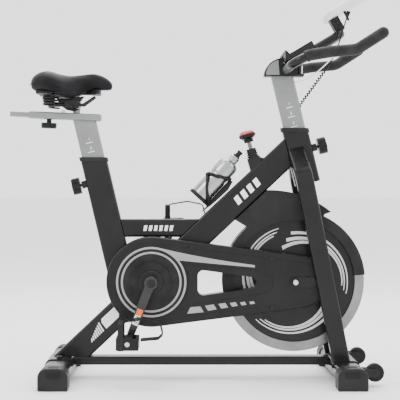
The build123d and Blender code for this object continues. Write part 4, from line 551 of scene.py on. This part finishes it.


# ---- decals on the crank arm and the tubes -----------------------------------------------------
ARM_FACE = -0.1181
prisms("arm_band_orange", [arm_band(0.078, 0.096, 0.0085)], ARM_FACE, ARM_FACE - STICKER, ORANGE_INK, "crankset",
       "crank_steel")
prisms("arm_band_white", [arm_band(0.097, 0.125, 0.0085)], ARM_FACE, ARM_FACE - STICKER, WHITE_INK, "crankset",
       "crank_steel")
prisms("arm_band_bars", [arm_band(0.100 + 0.005 * i, 0.1022 + 0.005 * i, 0.0062) for i in range(4)],
       ARM_FACE - STICKER, ARM_FACE - 1.6 * STICKER, DARK_INK_AND_SHADE, "crankset", "crank_steel")


def on_main(along, up):
    """The (x, z) place along the diagonal tube from its low end, and square to it."""
    spot = MAIN_LOW + MAIN_DIR * along + MAIN_UP * up
    return spot.x, spot.z


SIDE_DECAL = -TUBE_SIDE - 0.0001
# The tapering stripe and its seven ticks low on the diagonal.
stripe = [on_main(a, u) for a, u in ((0.121, 0.012), (0.127, 0.020), (0.190, 0.020), (0.210, 0.008), (0.180, 0.002),
                                     (0.168, -0.010), (0.119, -0.010))]
ticks = [[on_main(0.106 - 0.0075 * i + lean, u)
          for lean, u in ((0, -0.010), (0.004, -0.010), (0.010, 0.018 - 0.0032 * i), (0.006, 0.018 - 0.0032 * i))]
         for i in range(7)]
prisms("tube_stripe", [stripe] + ticks, SIDE_DECAL, SIDE_DECAL - STICKER, WHITE_INK, "frame", "black_paint")


def slanted_blocks(place, start, pitch, width, low, high, lean, count, gap_after=()):
    """A run of plain slanted blocks, placed by a function of (along, up)."""
    blocks, at = [], start
    for i in range(count):
        blocks.append([place(at, low), place(at + width, low),
                       place(at + width + lean, high), place(at + lean, high)])
        at += pitch + (pitch if i in gap_after else 0)
    return blocks


def on_cross(along, up):
    """The place on the cross tube from its rear end."""
    return -0.205 + along, 0.431 + up


blocks = slanted_blocks(on_main, 0.640, 0.0245, 0.0150, -0.012, 0.012, 0.004, 4)
prisms("diagonal_blocks", blocks, SIDE_DECAL, SIDE_DECAL - STICKER, WHITE_INK, "frame", "black_paint")
blocks = slanted_blocks(on_cross, 0.060, 0.0150, 0.0090, -0.0080, 0.0080, 0.003, 6)
prisms("cross_blocks", blocks, SIDE_DECAL, SIDE_DECAL - STICKER, WHITE_INK, "frame", "black_paint")


# ---- marks on the posts -------------------------------------------------------------------------
MARKS_Y = -0.01504, -0.01516        # the ink's two faces, at the right face of either post
SEGMENTS = {1: "bc", 2: "abged", 3: "abgcd", 4: "fgbc", 5: "afgcd", 6: "afgedc"}


def digit_outlines(number, place, along, across, size):
    """A plain seven-stroke digit as small bars."""
    w, h, t = size * 0.5, size, size * 0.16
    bars = {"a": (-w / 2, h / 2 - t / 2, w, t), "g": (-w / 2, -t / 2, w, t), "d": (-w / 2, -h / 2 - t / 2, w, t),
            "f": (-w / 2, 0, t, h / 2), "b": (w / 2 - t, 0, t, h / 2), "e": (-w / 2, -h / 2, t, h / 2),
            "c": (w / 2 - t, -h / 2, t, h / 2)}
    outlines = []
    for key in SEGMENTS[number]:
        x, z, wide, high = bars[key]
        outlines.append([place(along + v, across + u) for u, v in ((x, z), (x + wide, z), (x + wide, z + high),
                                                                   (x, z + high))])
    return outlines


def post_marks(name, top, lean, marks, body):
    """Height lines and their numbers up a post's right face."""
    down = Vector((math.sin(math.radians(lean)), 0, -math.cos(math.radians(lean))))
    side = Vector((-down.z, 0, down.x))

    def on_post(along, across):
        spot = Vector(top) - down * along + side * across
        return spot.x, spot.z

    outlines = []
    for number, height in enumerate(marks, 1):
        outlines.append([on_post(height, -0.011), on_post(height + 0.0016, -0.011), on_post(height + 0.0016, 0.009),
                         on_post(height, 0.009)])
        outlines += digit_outlines(len(marks) + 1 - number, on_post, height + 0.011, 0.0, 0.0075)
    return prisms(name, outlines, *MARKS_Y, WHITE_INK, body, "silver_paint")


post_marks("seat_marks", (-0.290, 0, 0.635), 13.3, (0.016, 0.043), "seat_stem")
post_marks("head_marks", (0.2947, 0, 0.708), 13.5, (0.016, 0.045, 0.073), "bar_stem")


# ---- saddle: a padded vinyl shell -------------------------------------------------------------
# Stations along the saddle, in millimetres: place, crown height, half width, height of the skirt's edge.
SADDLE = ((-470, 849, 38, 829), (-465, 862, 66, 826), (-452, 873, 84, 824), (-432, 879, 95, 822),
          (-410, 878, 98, 818), (-385, 870.5, 90, 810), (-356, 866, 68, 806), (-326, 869, 43, 816),
          (-293, 873, 29, 826),
          (-268, 873.5, 25, 830), (-247, 866, 21, 829), (-236, 857, 16, 829.5), (-231, 848, 9, 832))


def smooth_row(rows, at):
    """Catmull-Rom value between rows, at a fractional index."""
    i = min(int(at), len(rows) - 2)
    t = at - i
    p = [rows[max(0, min(len(rows) - 1, i + k))] for k in (-1, 0, 1, 2)]
    return tuple(0.5 * (2 * b + (c - a) * t + (2 * a - 5 * b + 4 * c - d) * t * t + (3 * b - a - 3 * c + d) * t ** 3)
                 for a, b, c, d in zip(*p))


def saddle_point(at, level):
    """A point of the saddle's right half: level 1 is the crown, 0 the widest line, -1 the skirt's edge."""
    x, crown, half, low = smooth_row(SADDLE, at)
    waist = low + 0.42 * (crown - low)
    if level >= 0:
        angle = level * math.pi / 2
        y, z = half * math.cos(angle) ** 0.72, waist + (crown - waist) * math.sin(angle) ** 0.80
    else:
        y, z = half * (1 - 0.13 * level * level), waist + (waist - low) * level
    return Vector((x, -y, z)) / 1000


def saddle_mesh():
    """The closed saddle: rings of points from nose to tail."""
    levels = [1 - i / 12 for i in range(12)] + [0, -0.33, -0.66, -1]
    rings = []
    for i in range(4 * (len(SADDLE) - 1) + 1):
        right = [saddle_point(i / 4, level) for level in levels]
        edge = right[-1]
        inner = [Vector((edge.x, edge.y * k, edge.z + 0.004 * (1 - k) + 0.002)) for k in (0.88, 0.5)]
        under = [*right, *inner]
        mirrored = [Vector((p.x, -p.y, p.z)) for p in under[:0:-1]]
        rings.append(under + [Vector((edge.x, 0, edge.z + 0.006))] + mirrored)
    count = len(rings[0])
    verts = [p for ring in rings for p in ring]
    faces = [(k * count + i, k * count + (i + 1) % count, (k + 1) * count + (i + 1) % count, (k + 1) * count + i)
             for k in range(len(rings) - 1) for i in range(count)]
    last = (len(rings) - 1) * count
    return verts, faces + [list(range(count))[::-1], list(range(last, last + count))]


def make_only(obj):
    """Selects one object for an operator."""
    bpy.ops.object.select_all(action="DESELECT")
    obj.select_set(True)
    bpy.context.view_layer.objects.active = obj


def puff_up(obj, voxel, pressure, cap):
    """Remeshes a soft piece and swells it as cloth, no point by more than cap."""
    make_only(obj)
    remesh = obj.modifiers.new("remesh", "REMESH")
    remesh.mode = "VOXEL"
    remesh.voxel_size = voxel
    bpy.ops.object.modifier_apply(modifier=remesh.name)
    start = [v.co.copy() for v in obj.data.vertices]
    cloth = obj.modifiers.new("cloth", "CLOTH")
    cloth.settings.use_pressure = True
    cloth.settings.uniform_pressure_force = pressure
    cloth.settings.effector_weights.gravity = 0
    cloth.settings.quality = 6
    cloth.settings.tension_stiffness = 25
    scene = bpy.context.scene
    for step in range(1, 21):
        scene.frame_set(step)
    swollen = obj.evaluated_get(bpy.context.evaluated_depsgraph_get()).data
    moved = [v.co.copy() for v in swollen.vertices]
    obj.modifiers.remove(cloth)
    scene.frame_set(1)
    for vertex, old, new in zip(obj.data.vertices, start, moved):
        shift = new - old
        vertex.co = old + shift * min(1, cap / max(shift.length, 1e-9))
    smooth = obj.modifiers.new("smooth", "SMOOTH")
    smooth.factor, smooth.iterations = 0.5, 6
    bpy.ops.object.modifier_apply(modifier=smooth.name)
    finer = obj.modifiers.new("finer", "SUBSURF")
    finer.levels = finer.render_levels = 1
    obj.data.shade_smooth()


saddle = piece("saddle_cover", *saddle_mesh(), FINISH["saddle_vinyl"], "saddle", "saddle_vinyl")
puff_up(saddle, 0.005, 4, 0.0045)
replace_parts(saddle, "saddle_pad")


def seam_line(name, stations, levels, radius, out):
    """A welt of piping along the saddle's side, both sides."""
    for side, label in ((1, "right"), (-1, "left")):
        points = []
        for at, level in zip(stations, levels):
            spot = saddle_point(at, level)
            points.append(Vector((spot.x, (spot.y - out) * side, spot.z)))
        tube_along(name + "_" + label, points, [radius] * len(points), FINISH["saddle_vinyl"], "saddle",
                   "saddle_vinyl", steps=10)


wing_stations = [0.3 + 6.2 * i / 26 for i in range(27)]
wing_levels = [0.02 - 0.55 * (i / 26) ** 2 for i in range(27)]
seam_line("saddle_welt", wing_stations, wing_levels, 0.0011, 0.0012)


# ---- handlebar grips: foam sleeves that follow the bar -----------------------------------------
def rounded_route(points, radii, steps=9):
    """A route with its corners rounded to the given radii, as closely spaced points."""
    points = [Vector(p) for p in points]
    route = [points[0]]
    for a, b, c, radius in zip(points, points[1:], points[2:], radii):
        back, ahead = (a - b).normalized(), (c - b).normalized()
        half = back.angle(ahead) / 2
        radius = min(radius, 0.45 * min((a - b).length, (c - b).length) * math.tan(half))
        cut, centre = radius / math.tan(half), b + (back + ahead).normalized() * radius / math.sin(half)
        start, end = b + back * cut - centre, b + ahead * cut - centre
        sweep = start.angle(end)
        for i in range(steps + 1):
            t = i / steps
            weights = math.sin((1 - t) * sweep) / math.sin(sweep), math.sin(t * sweep) / math.sin(sweep)
            route.append(centre + start * weights[0] + end * weights[1])
    return route + [points[-1]]


GRIP_ROUTE = ((0.512, 0.9695), (0.441, 0.924), (0.372, 0.918), (0.312, 0.908), (0.301, 0.9026))
grips = []
for side, label in ((-1, "right"), (1, "left")):
    line = rounded_route([(x, 0.220 * side, z) for x, z in GRIP_ROUTE], (0.045, 0.060, 0.020))
    heading = (line[0] - line[1]).normalized()
    tip = [line[0] + heading * 0.0158 * math.sin(a) for a in (math.pi / 2 * i / 7 for i in range(7, 0, -1))]
    tip_radii = [max(0.0158 * math.cos(a), 0.0006) for a in (math.pi / 2 * i / 7 for i in range(7, 0, -1))]
    lead_in = [line[-1] + (line[-2] - line[-1]).normalized() * d for d in (0.003, 0.0012, 0.0)]
    route = tip + line[:-1] + lead_in
    radii = tip_radii + [0.0158] * (len(line) - 1) + [0.0158, 0.0150, 0.0130]
    grips.append(tube_along("grip_" + label, route, radii, FINISH["grip_foam"], "bar_stem", "grip_foam", steps=36,
                            dome=False))
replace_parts(grips[0], "handlebar_grips")


# ---- bottle: a spun metal flask with a black nozzle --------------------------------------------
BOTTLE_LOW, BOTTLE_HIGH = Vector((0.019, 0, 0.523)), Vector((0.1025, 0, 0.614))
BOTTLE_UP = (BOTTLE_HIGH - BOTTLE_LOW).normalized()
BOTTLE_LONG = (BOTTLE_HIGH - BOTTLE_LOW).length
flask_profile = [(0, 0.0012), (0.020, 0.0012), (0.0225, 0.0)] + [
    (0.0255 + 0.004 * math.sin(a), 0.004 - 0.004 * math.cos(a)) for a in (math.pi / 2 * i / 6 for i in range(7))]
flask_profile += [(0.0295, 0.066), (0.0291, 0.070), (0.0280, 0.073), (0.0275, 0.078), (0.0280, 0.083),
                  (0.0291, 0.0855), (0.0295, 0.089), (0.0295, BOTTLE_LONG - 0.007)]
flask_profile += [(0.0155 + 0.014 * math.cos(a), BOTTLE_LONG - 0.007 + 0.0185 * math.sin(a))
                  for a in (math.pi / 2 * i / 10 for i in range(1, 10))]
flask_profile += [(0.0150, BOTTLE_LONG + 0.0125), (0.0143, BOTTLE_LONG + 0.0155)]
bottle = turned_piece("bottle_flask", BOTTLE_LOW, BOTTLE_UP, flask_profile, FINISH["bottle_metal"],
                      "drinking_bottle", "bottle_metal")
neck_profile = [(0.0128, BOTTLE_LONG + 0.0135), (0.0141, BOTTLE_LONG + 0.0135), (0.0143, BOTTLE_LONG + 0.0145),
                (0.0143, BOTTLE_LONG + 0.0290), (0.0135, BOTTLE_LONG + 0.0300), (0.0100, BOTTLE_LONG + 0.0302)]
turned_piece("bottle_neck", BOTTLE_LOW, BOTTLE_UP, neck_profile, FINISH["bottle_metal"], "drinking_bottle",
             "bottle_metal")
nozzle_profile = [(0.0085, BOTTLE_LONG + 0.0300), (0.0105, BOTTLE_LONG + 0.0310), (0.0105, BOTTLE_LONG + 0.0345),
                  (0.0078, BOTTLE_LONG + 0.0365), (0.0072, BOTTLE_LONG + 0.0440), (0.0082, BOTTLE_LONG + 0.0455),
                  (0.0082, BOTTLE_LONG + 0.0500), (0.0070, BOTTLE_LONG + 0.0516), (0.0, BOTTLE_LONG + 0.0520)]
turned_piece("bottle_nozzle", BOTTLE_LOW, BOTTLE_UP, nozzle_profile, FINISH["rubber_black"],
             "drinking_bottle", "bottle_metal")
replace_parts(bottle, "bottle")


# ---- brake knob: a ribbed black body under a red dome ------------------------------------------
BRAKE_LEAN = math.radians(15.7)
BRAKE_UP = Vector((-math.sin(BRAKE_LEAN), 0, math.cos(BRAKE_LEAN)))
BRAKE_CROSS = Vector((0.191, 0, 0.572))
KNOB_BASE = BRAKE_CROSS + BRAKE_UP * 0.123


def ribbed_body(name, origin, axis, profile, ribs, depth, mat, body, slot, steps=144):
    """A turned body whose side carries upright finger ribs; the profile is (radius, height, share of rib)."""
    side = axis.orthogonal().normalized()
    other = axis.cross(side)
    verts, faces = [], []
    for radius, height, share in profile:
        for i in range(steps):
            turn = 2 * math.pi * i / steps
            wave = depth * share * (0.5 - 0.5 * math.cos(turn * ribs)) ** 0.6
            reach = radius - wave
            verts.append(origin + axis * height + (side * math.cos(turn) + other * math.sin(turn)) * reach)
    for row in range(len(profile) - 1):
        for i in range(steps):
            j = (i + 1) % steps
            faces.append((row * steps + i, row * steps + j, (row + 1) * steps + j, (row + 1) * steps + i))
    last = (len(profile) - 1) * steps
    faces += [list(range(steps))[::-1], list(range(last, last + steps))]
    return piece(name, verts, faces, mat, body, slot)


knob_profile = [(0.0080, -0.0120, 0), (0.0125, -0.0120, 0), (0.0135, -0.0108, 0.2), (0.0140, -0.0030, 0.5),
                (0.0155, -0.0022, 0.2), (0.0185, 0.0006, 0), (0.0215, 0.0022, 0.3), (0.0236, 0.0048, 0.9),
                (0.0244, 0.0070, 1), (0.0245, 0.0095, 1), (0.0241, 0.0115, 0.8), (0.0230, 0.0126, 0.1),
                (0.0215, 0.0130, 0), (0.0150, 0.0130, 0)]
brake_body = ribbed_body("brake_knob_body", KNOB_BASE, BRAKE_UP, knob_profile, 16, 0.0014, FINISH["knob_plastic"],
                         "brake_knob_unit", "brake_knob_red")
dome_profile = [(0.0190, 0.0122), (0.0218, 0.0126), (0.0224, 0.0134), (0.0222, 0.0142)]
dome_profile += [(0.0222 * math.cos(a), 0.0142 + 0.0108 * math.sin(a)) for a in
                 (math.pi / 2 * i / 12 for i in range(1, 12))] + [(0.0, 0.0250)]
turned_piece("brake_knob_dome", KNOB_BASE, BRAKE_UP, dome_profile, FINISH["brake_knob_red"],
             "brake_knob_unit", "brake_knob_red")
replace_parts(brake_body, "brake_knob")


# ---- toe cages, their straps and buckles -------------------------------------------------------
CAGE_RAILS = ((0.146, 0.158), (0.188, 0.200))        # how far out each rail's edges are
CAGE_BETWEEN = 0.157, 0.189                          # the floor and the toe reach just into both rails
CAGE_ROUTE = ((0.0353, 0.008), (0.084, 0.012), (0.097, 0.024), (0.088, 0.058), (0.042, 0.067), (-0.012, 0.058))


def band_section(route, depth_low, depth_high, thick, name, mat, body, slot, centre):
    """A thin band bent along an (x, z) route, as wide as the two y values."""
    count = len(route)
    offsets = []
    for i, point in enumerate(route):
        ahead = (Vector(route[min(i + 1, count - 1)]) - Vector(route[max(i - 1, 0)])).normalized()
        offsets.append((Vector(point), Vector((-ahead.y, ahead.x))))
    verts, faces = [], []
    for point, across in offsets:
        for y, t in ((depth_low, 0.5), (depth_high, 0.5), (depth_high, -0.5), (depth_low, -0.5)):
            spot = point + across * thick * t
            verts.append(Vector((centre[0] + spot.x, y, centre[1] + spot.y)))
    for row in range(count - 1):
        for i in range(4):
            j = (i + 1) % 4
            faces.append((row * 4 + i, row * 4 + j, row * 4 + 4 + j, row * 4 + 4 + i))
    faces += [(3, 2, 1, 0), tuple(range(4 * count - 4, 4 * count))]
    return piece(name, verts, faces, mat, body, slot, smooth=False)


def plane_route(points, radii):
    """rounded_route for (x, z) pairs."""
    return [(p.x, p.z) for p in rounded_route([(x, 0, z) for x, z in points], radii)]


def toe_cage(label, side, axle):
    """The moulded cage of one pedal: two side rails, with a floor and a closed toe between them."""
    look = FINISH["pedal_resin"], label + "_pedal", "pedal_resin", axle
    route = plane_route(CAGE_ROUTE, (0.008, 0.009, 0.014, 0.020))
    for low, high in CAGE_RAILS:
        soften(band_section(route, side * low, side * high, 0.0034, f"cage_rail_{label}_{int(low * 1000)}", *look),
               0.0009)
    near, far = (side * y for y in CAGE_BETWEEN)
    floor = [p for p in route if p[0] < 0.093 and p[1] < 0.02]
    toe = [p for p in route if p[0] > 0.089]
    band_section(floor, near, far, 0.003, "cage_floor_" + label, *look)
    band_section(toe, near, far, 0.003, "cage_toe_" + label, *look)


def strap_loop(label, side, axle):
    """The strap round the platform and over the cage, with a buckle."""
    body, mat = label + "_pedal", FINISH["rubber_black"]
    inner, outer, low, high, bend = 0.1225, 0.2235, -0.0181, 0.0570, 0.0055
    corners = ((inner, low), (outer, low), (outer, high), (inner, high))
    ring = []
    for i, (y, z) in enumerate(corners):
        cy, cz = y + (bend if i in (0, 3) else -bend), z + (bend if i < 2 else -bend)
        start = (math.pi, 1.5 * math.pi, 0, 0.5 * math.pi)[i]
        ring += [(cy + bend * math.cos(start + a), cz + bend * math.sin(start + a))
                 for a in (math.pi / 2 * k / 6 for k in range(7))]
    verts, faces = [], []
    mid_y, mid_z = (inner + outer) / 2, (low + high) / 2
    for y, z in ring:
        for x, inset in ((-0.0255, 0.0002), (-0.0252, 0), (-0.0108, 0), (-0.0105, 0.0002), (-0.0108, 0.0019),
                         (-0.0252, 0.0019)):
            reach = Vector((mid_y - y, mid_z - z)).normalized() * inset
            verts.append(Vector((axle[0] + x, side * (y + reach.x), axle[1] + z + reach.y)))
    count = len(ring)
    for row in range(count):
        after = (row + 1) % count
        for i in range(6):
            j = (i + 1) % 6
            faces.append((row * 6 + i, row * 6 + j, after * 6 + j, after * 6 + i))
    strap = piece("strap_" + label, verts, faces, mat, body, "pedal_resin")
    buckle = prisms("buckle_" + label, [[(axle[0] - 0.0265, axle[1] + 0.0162), (axle[0] - 0.0095, axle[1] + 0.0162),
                                         (axle[0] - 0.0095, axle[1] + 0.0246), (axle[0] - 0.0265, axle[1] + 0.0246)]],
                    side * 0.151, side * 0.177, FINISH["pedal_resin"], body, "pedal_resin")
    soften(buckle, 0.0012)
    return strap


for label, side, axle in (("right", -1, (-0.1834, 0.1219)), ("left", 1, (-0.0586, 0.4381))):
    toe_cage(label, side, axle)
    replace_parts(strap_loop(label, side, axle), "toe_clip_" + label)


# ---- brake fairing, handlebar clamp panels and bolt, saddle bolt, slider nut ---------------------
fairing = [(0.174, 0.656), (0.181, 0.648), (0.190, 0.638), (0.201, 0.6335), (0.216, 0.636), (0.231, 0.644),
           (0.243, 0.655), (0.236, 0.630), (0.190, 0.590), (0.178, 0.600)]
soften(prisms("brake_fairing", [fairing], 0.013, -0.013, FINISH["black_paint"], "frame", "black_paint"), 0.003)

panel = [(0.2085, 0.8725)]
panel += [(0.258 - 0.0495 * math.cos(a), 0.8725 + 0.0450 * math.sin(a)) for a in
          (math.radians(4 + 70 * i / 14) for i in range(15))]
panel += [(0.2475, 0.8725)]
for side, label in ((-1, "right"), (1, "left")):
    soften(prisms("clamp_panel_" + label, [panel], side * 0.0238, side * 0.0250, FINISH["silver_paint"], "bar_stem",
                  "shelf_plastic"), 0.0004)

bolt("clamp_bolt", Vector((0.312, -0.0135, 0.8765)), Vector((0, 0, 1)), 0.0030, 0.0235, FINISH["bright_steel"],
     "bar_stem", "bright_steel")
bolt("saddle_bolt", Vector((-0.335, -0.0205, 0.7755)), Vector((0, 0, 1)), 0.0036, 0.0225, FINISH["bright_steel"],
     "saddle", "bright_steel")
bolt("slider_nut", Vector((-0.3765, -0.010, 0.7655)), Vector((0.04, 0, 1)).normalized(), 0.0062, 0.0055,
     FINISH["bright_steel"], "saddle", "bright_steel")


# ---- bottle cage: two bent arms, a seat, a rail and a foot on the tube ---------------------------
def cage_place(along, across):
    """A place in the bottle's own frame: up its axis, and square to it towards the rear and up."""
    spot = BOTTLE_LOW + BOTTLE_UP * along + Vector((-BOTTLE_UP.z, 0, BOTTLE_UP.x)) * across
    return spot


def cage_arm(label, side):
    """One side of the loop: from the seat under the bottle, out over its side and back down."""
    marks = ((0.010, -0.0325, 0.006), (0.004, -0.0315, 0.018), (0.012, -0.020, 0.031), (0.030, 0.002, 0.0345),
             (0.052, 0.020, 0.0300), (0.062, 0.0285, 0.020), (0.070, 0.018, 0.0300), (0.080, -0.006, 0.0335),
             (0.090, -0.024, 0.0240), (0.094, -0.0325, 0.010))
    points = []
    for i in range(len(marks) - 1):
        for k in range(8):
            along, across, out = smooth_row(marks, i + k / 8)
            place = cage_place(along, across)
            points.append(Vector((place.x, side * out, place.z)))
    return tube_along("cage_arm_" + label, points, [0.0042] * len(points), FINISH["rubber_black"], "frame",
                      "black_hardware", steps=14)


arms = [cage_arm("right", -1), cage_arm("left", 1)]
base_profile = rounded_profile(0.033, 0.010, 0.003)
turned_piece("cage_base", BOTTLE_LOW - BOTTLE_UP * 0.0085, BOTTLE_UP,
             [(0, 0)] + base_profile + [(0.0305, 0.0100), (0.0300, 0.0075), (0, 0.0075)],
             FINISH["rubber_black"], "frame", "black_hardware")
rail = prisms("cage_rail", [[tuple(cage_place(a, u).xz) for a, u in ((-0.008, -0.0335), (0.100, -0.0335),
                                                                     (0.100, -0.0300), (-0.008, -0.0300))]],
              0.011, -0.011, FINISH["rubber_black"], "frame", "black_hardware")
soften(rail, 0.001)
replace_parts(arms[0], "bottle_cage")
foot_outline = [tuple(cage_place(a, -0.0335).xz) for a in (0.002, 0.092)]
foot_outline += [(0.1140, 0.5660), (0.1000, 0.5410), (0.0750, 0.5180), (0.0500, 0.4960), (0.0205, 0.4755)]
soften(prisms("cage_foot", [foot_outline], 0.0125, -0.0125, FINISH["rubber_black"], "frame", "black_hardware"), 0.002)


# ---- saddle bracket, guard lines, dropout plate, nuts and screws, painted shade for the caps' recesses ---
bracket = [(-0.396, 0.806), (-0.386, 0.786), (-0.368, 0.773), (-0.345, 0.768), (-0.331, 0.773), (-0.327, 0.797),
           (-0.316, 0.812), (-0.340, 0.809), (-0.360, 0.805)]
soften(prisms("saddle_bracket", [bracket], 0.015, -0.015, FINISH["black_hardware"], "saddle", "black_hardware"),
       0.002)

GROOVE_Y = PANEL_Y - 0.0001


def groove(name, outline, radii, radius=0.0008):
    """A fine raised line on the guard's face, along a closed outline of (x, z) places."""
    middle = (Vector(outline[0]) + Vector(outline[-1])) / 2
    closed = [tuple(middle)] + list(outline) + [tuple(middle)]
    route = rounded_route([(x, GROOVE_Y, z) for x, z in closed], radii)
    return tube_along(name, route, [radius] * len(route), FINISH["guard_plastic"], "frame", "guard_plastic", steps=8,
                      dome=False)


def about_crank(radius, degrees):
    """The (x, z) place at an angle round the crank's axis."""
    turn = math.radians(degrees)
    return CRANK[0] + radius * math.cos(turn), CRANK[2] + radius * math.sin(turn)


surround = [about_crank(0.107, a) for a in (-40, -26, -12, 2, 16, 28)]
surround += [(0.185, 0.3135), (0.2235, 0.2930), (0.2235, 0.2610), (0.185, 0.2455)]
groove("guard_surround", surround, (0.012, 0.1, 0.1, 0.1, 0.1, 0.012, 0.03, 0.018, 0.018, 0.03))
ring_line = [about_crank(0.1035, a) for a in range(0, 360, 12)]
groove("guard_ring_line", ring_line, (0.1,) * len(ring_line), 0.0006)

dropout = [(0.2815 - 0.0100 * math.sin(a), 0.2755 + 0.0130 * math.cos(a)) for a in
           (math.pi * i / 12 for i in range(13))]
dropout += [(0.3270 + 0.0100 * math.sin(a), 0.2755 - 0.0130 * math.cos(a)) for a in
            (math.pi * i / 12 for i in range(13))]
soften(prisms("dropout_plate", [dropout], PANEL_Y, PANEL_Y - 0.0022, FINISH["black_paint"], "frame", "black_paint"),
       0.0008)
for name, x, z, radius in (("axle_nut", 0.290, 0.2772, 0.0080), ("tension_nut", 0.3085, 0.2760, 0.0050),
                           ("tension_screw", 0.3245, 0.2730, 0.0038)):
    bolt(name, Vector((x, PANEL_Y - 0.0018, z)), Vector((0, -1, 0)), radius, radius * 0.5, FINISH["black_hardware"],
         "frame", "black_hardware")
for number, (x, z) in enumerate(((0.3247, 0.2990), (0.3358, 0.2530), (0.2218, 0.3458), (0.2218, 0.2130),
                                 (-0.0160, 0.3720), (0.0700, 0.1990))):
    bolt(f"guard_screw_{number}", Vector((x, PANEL_Y + 0.0004, z)), Vector((0, -1, 0)), 0.0042, 0.0014,
         FINISH["black_hardware"], "frame", "black_hardware")


def cap_recess_shade(name, middle, side):
    """A dark sheet on the end of a stabilizer's cap: painted shade in place of the cap's shallow recess."""
    half_x, half_z, corner, height = 0.0175, 0.0068, 0.003, 0.0437
    outline = []
    for cx, cz, start in ((1, 1, 0), (-1, 1, 90), (-1, -1, 180), (1, -1, 270)):
        for i in range(5):
            a = math.radians(start + 22.5 * i)
            outline.append((middle + cx * half_x + corner * math.cos(a), height + cz * half_z + corner * math.sin(a)))
    # painted shade: a flat dark sheet where the recess would lie in shadow
    prisms(name, [outline], side * 0.2499, side * 0.2504, DARK_INK_AND_SHADE, "frame", "cap_plastic")


for label, middle in (("rear", -0.3815), ("front", 0.425)):
    for side, hand in ((-1, "right"), (1, "left")):
        cap_recess_shade(f"cap_recess_shade_{label}_{hand}", middle, side)
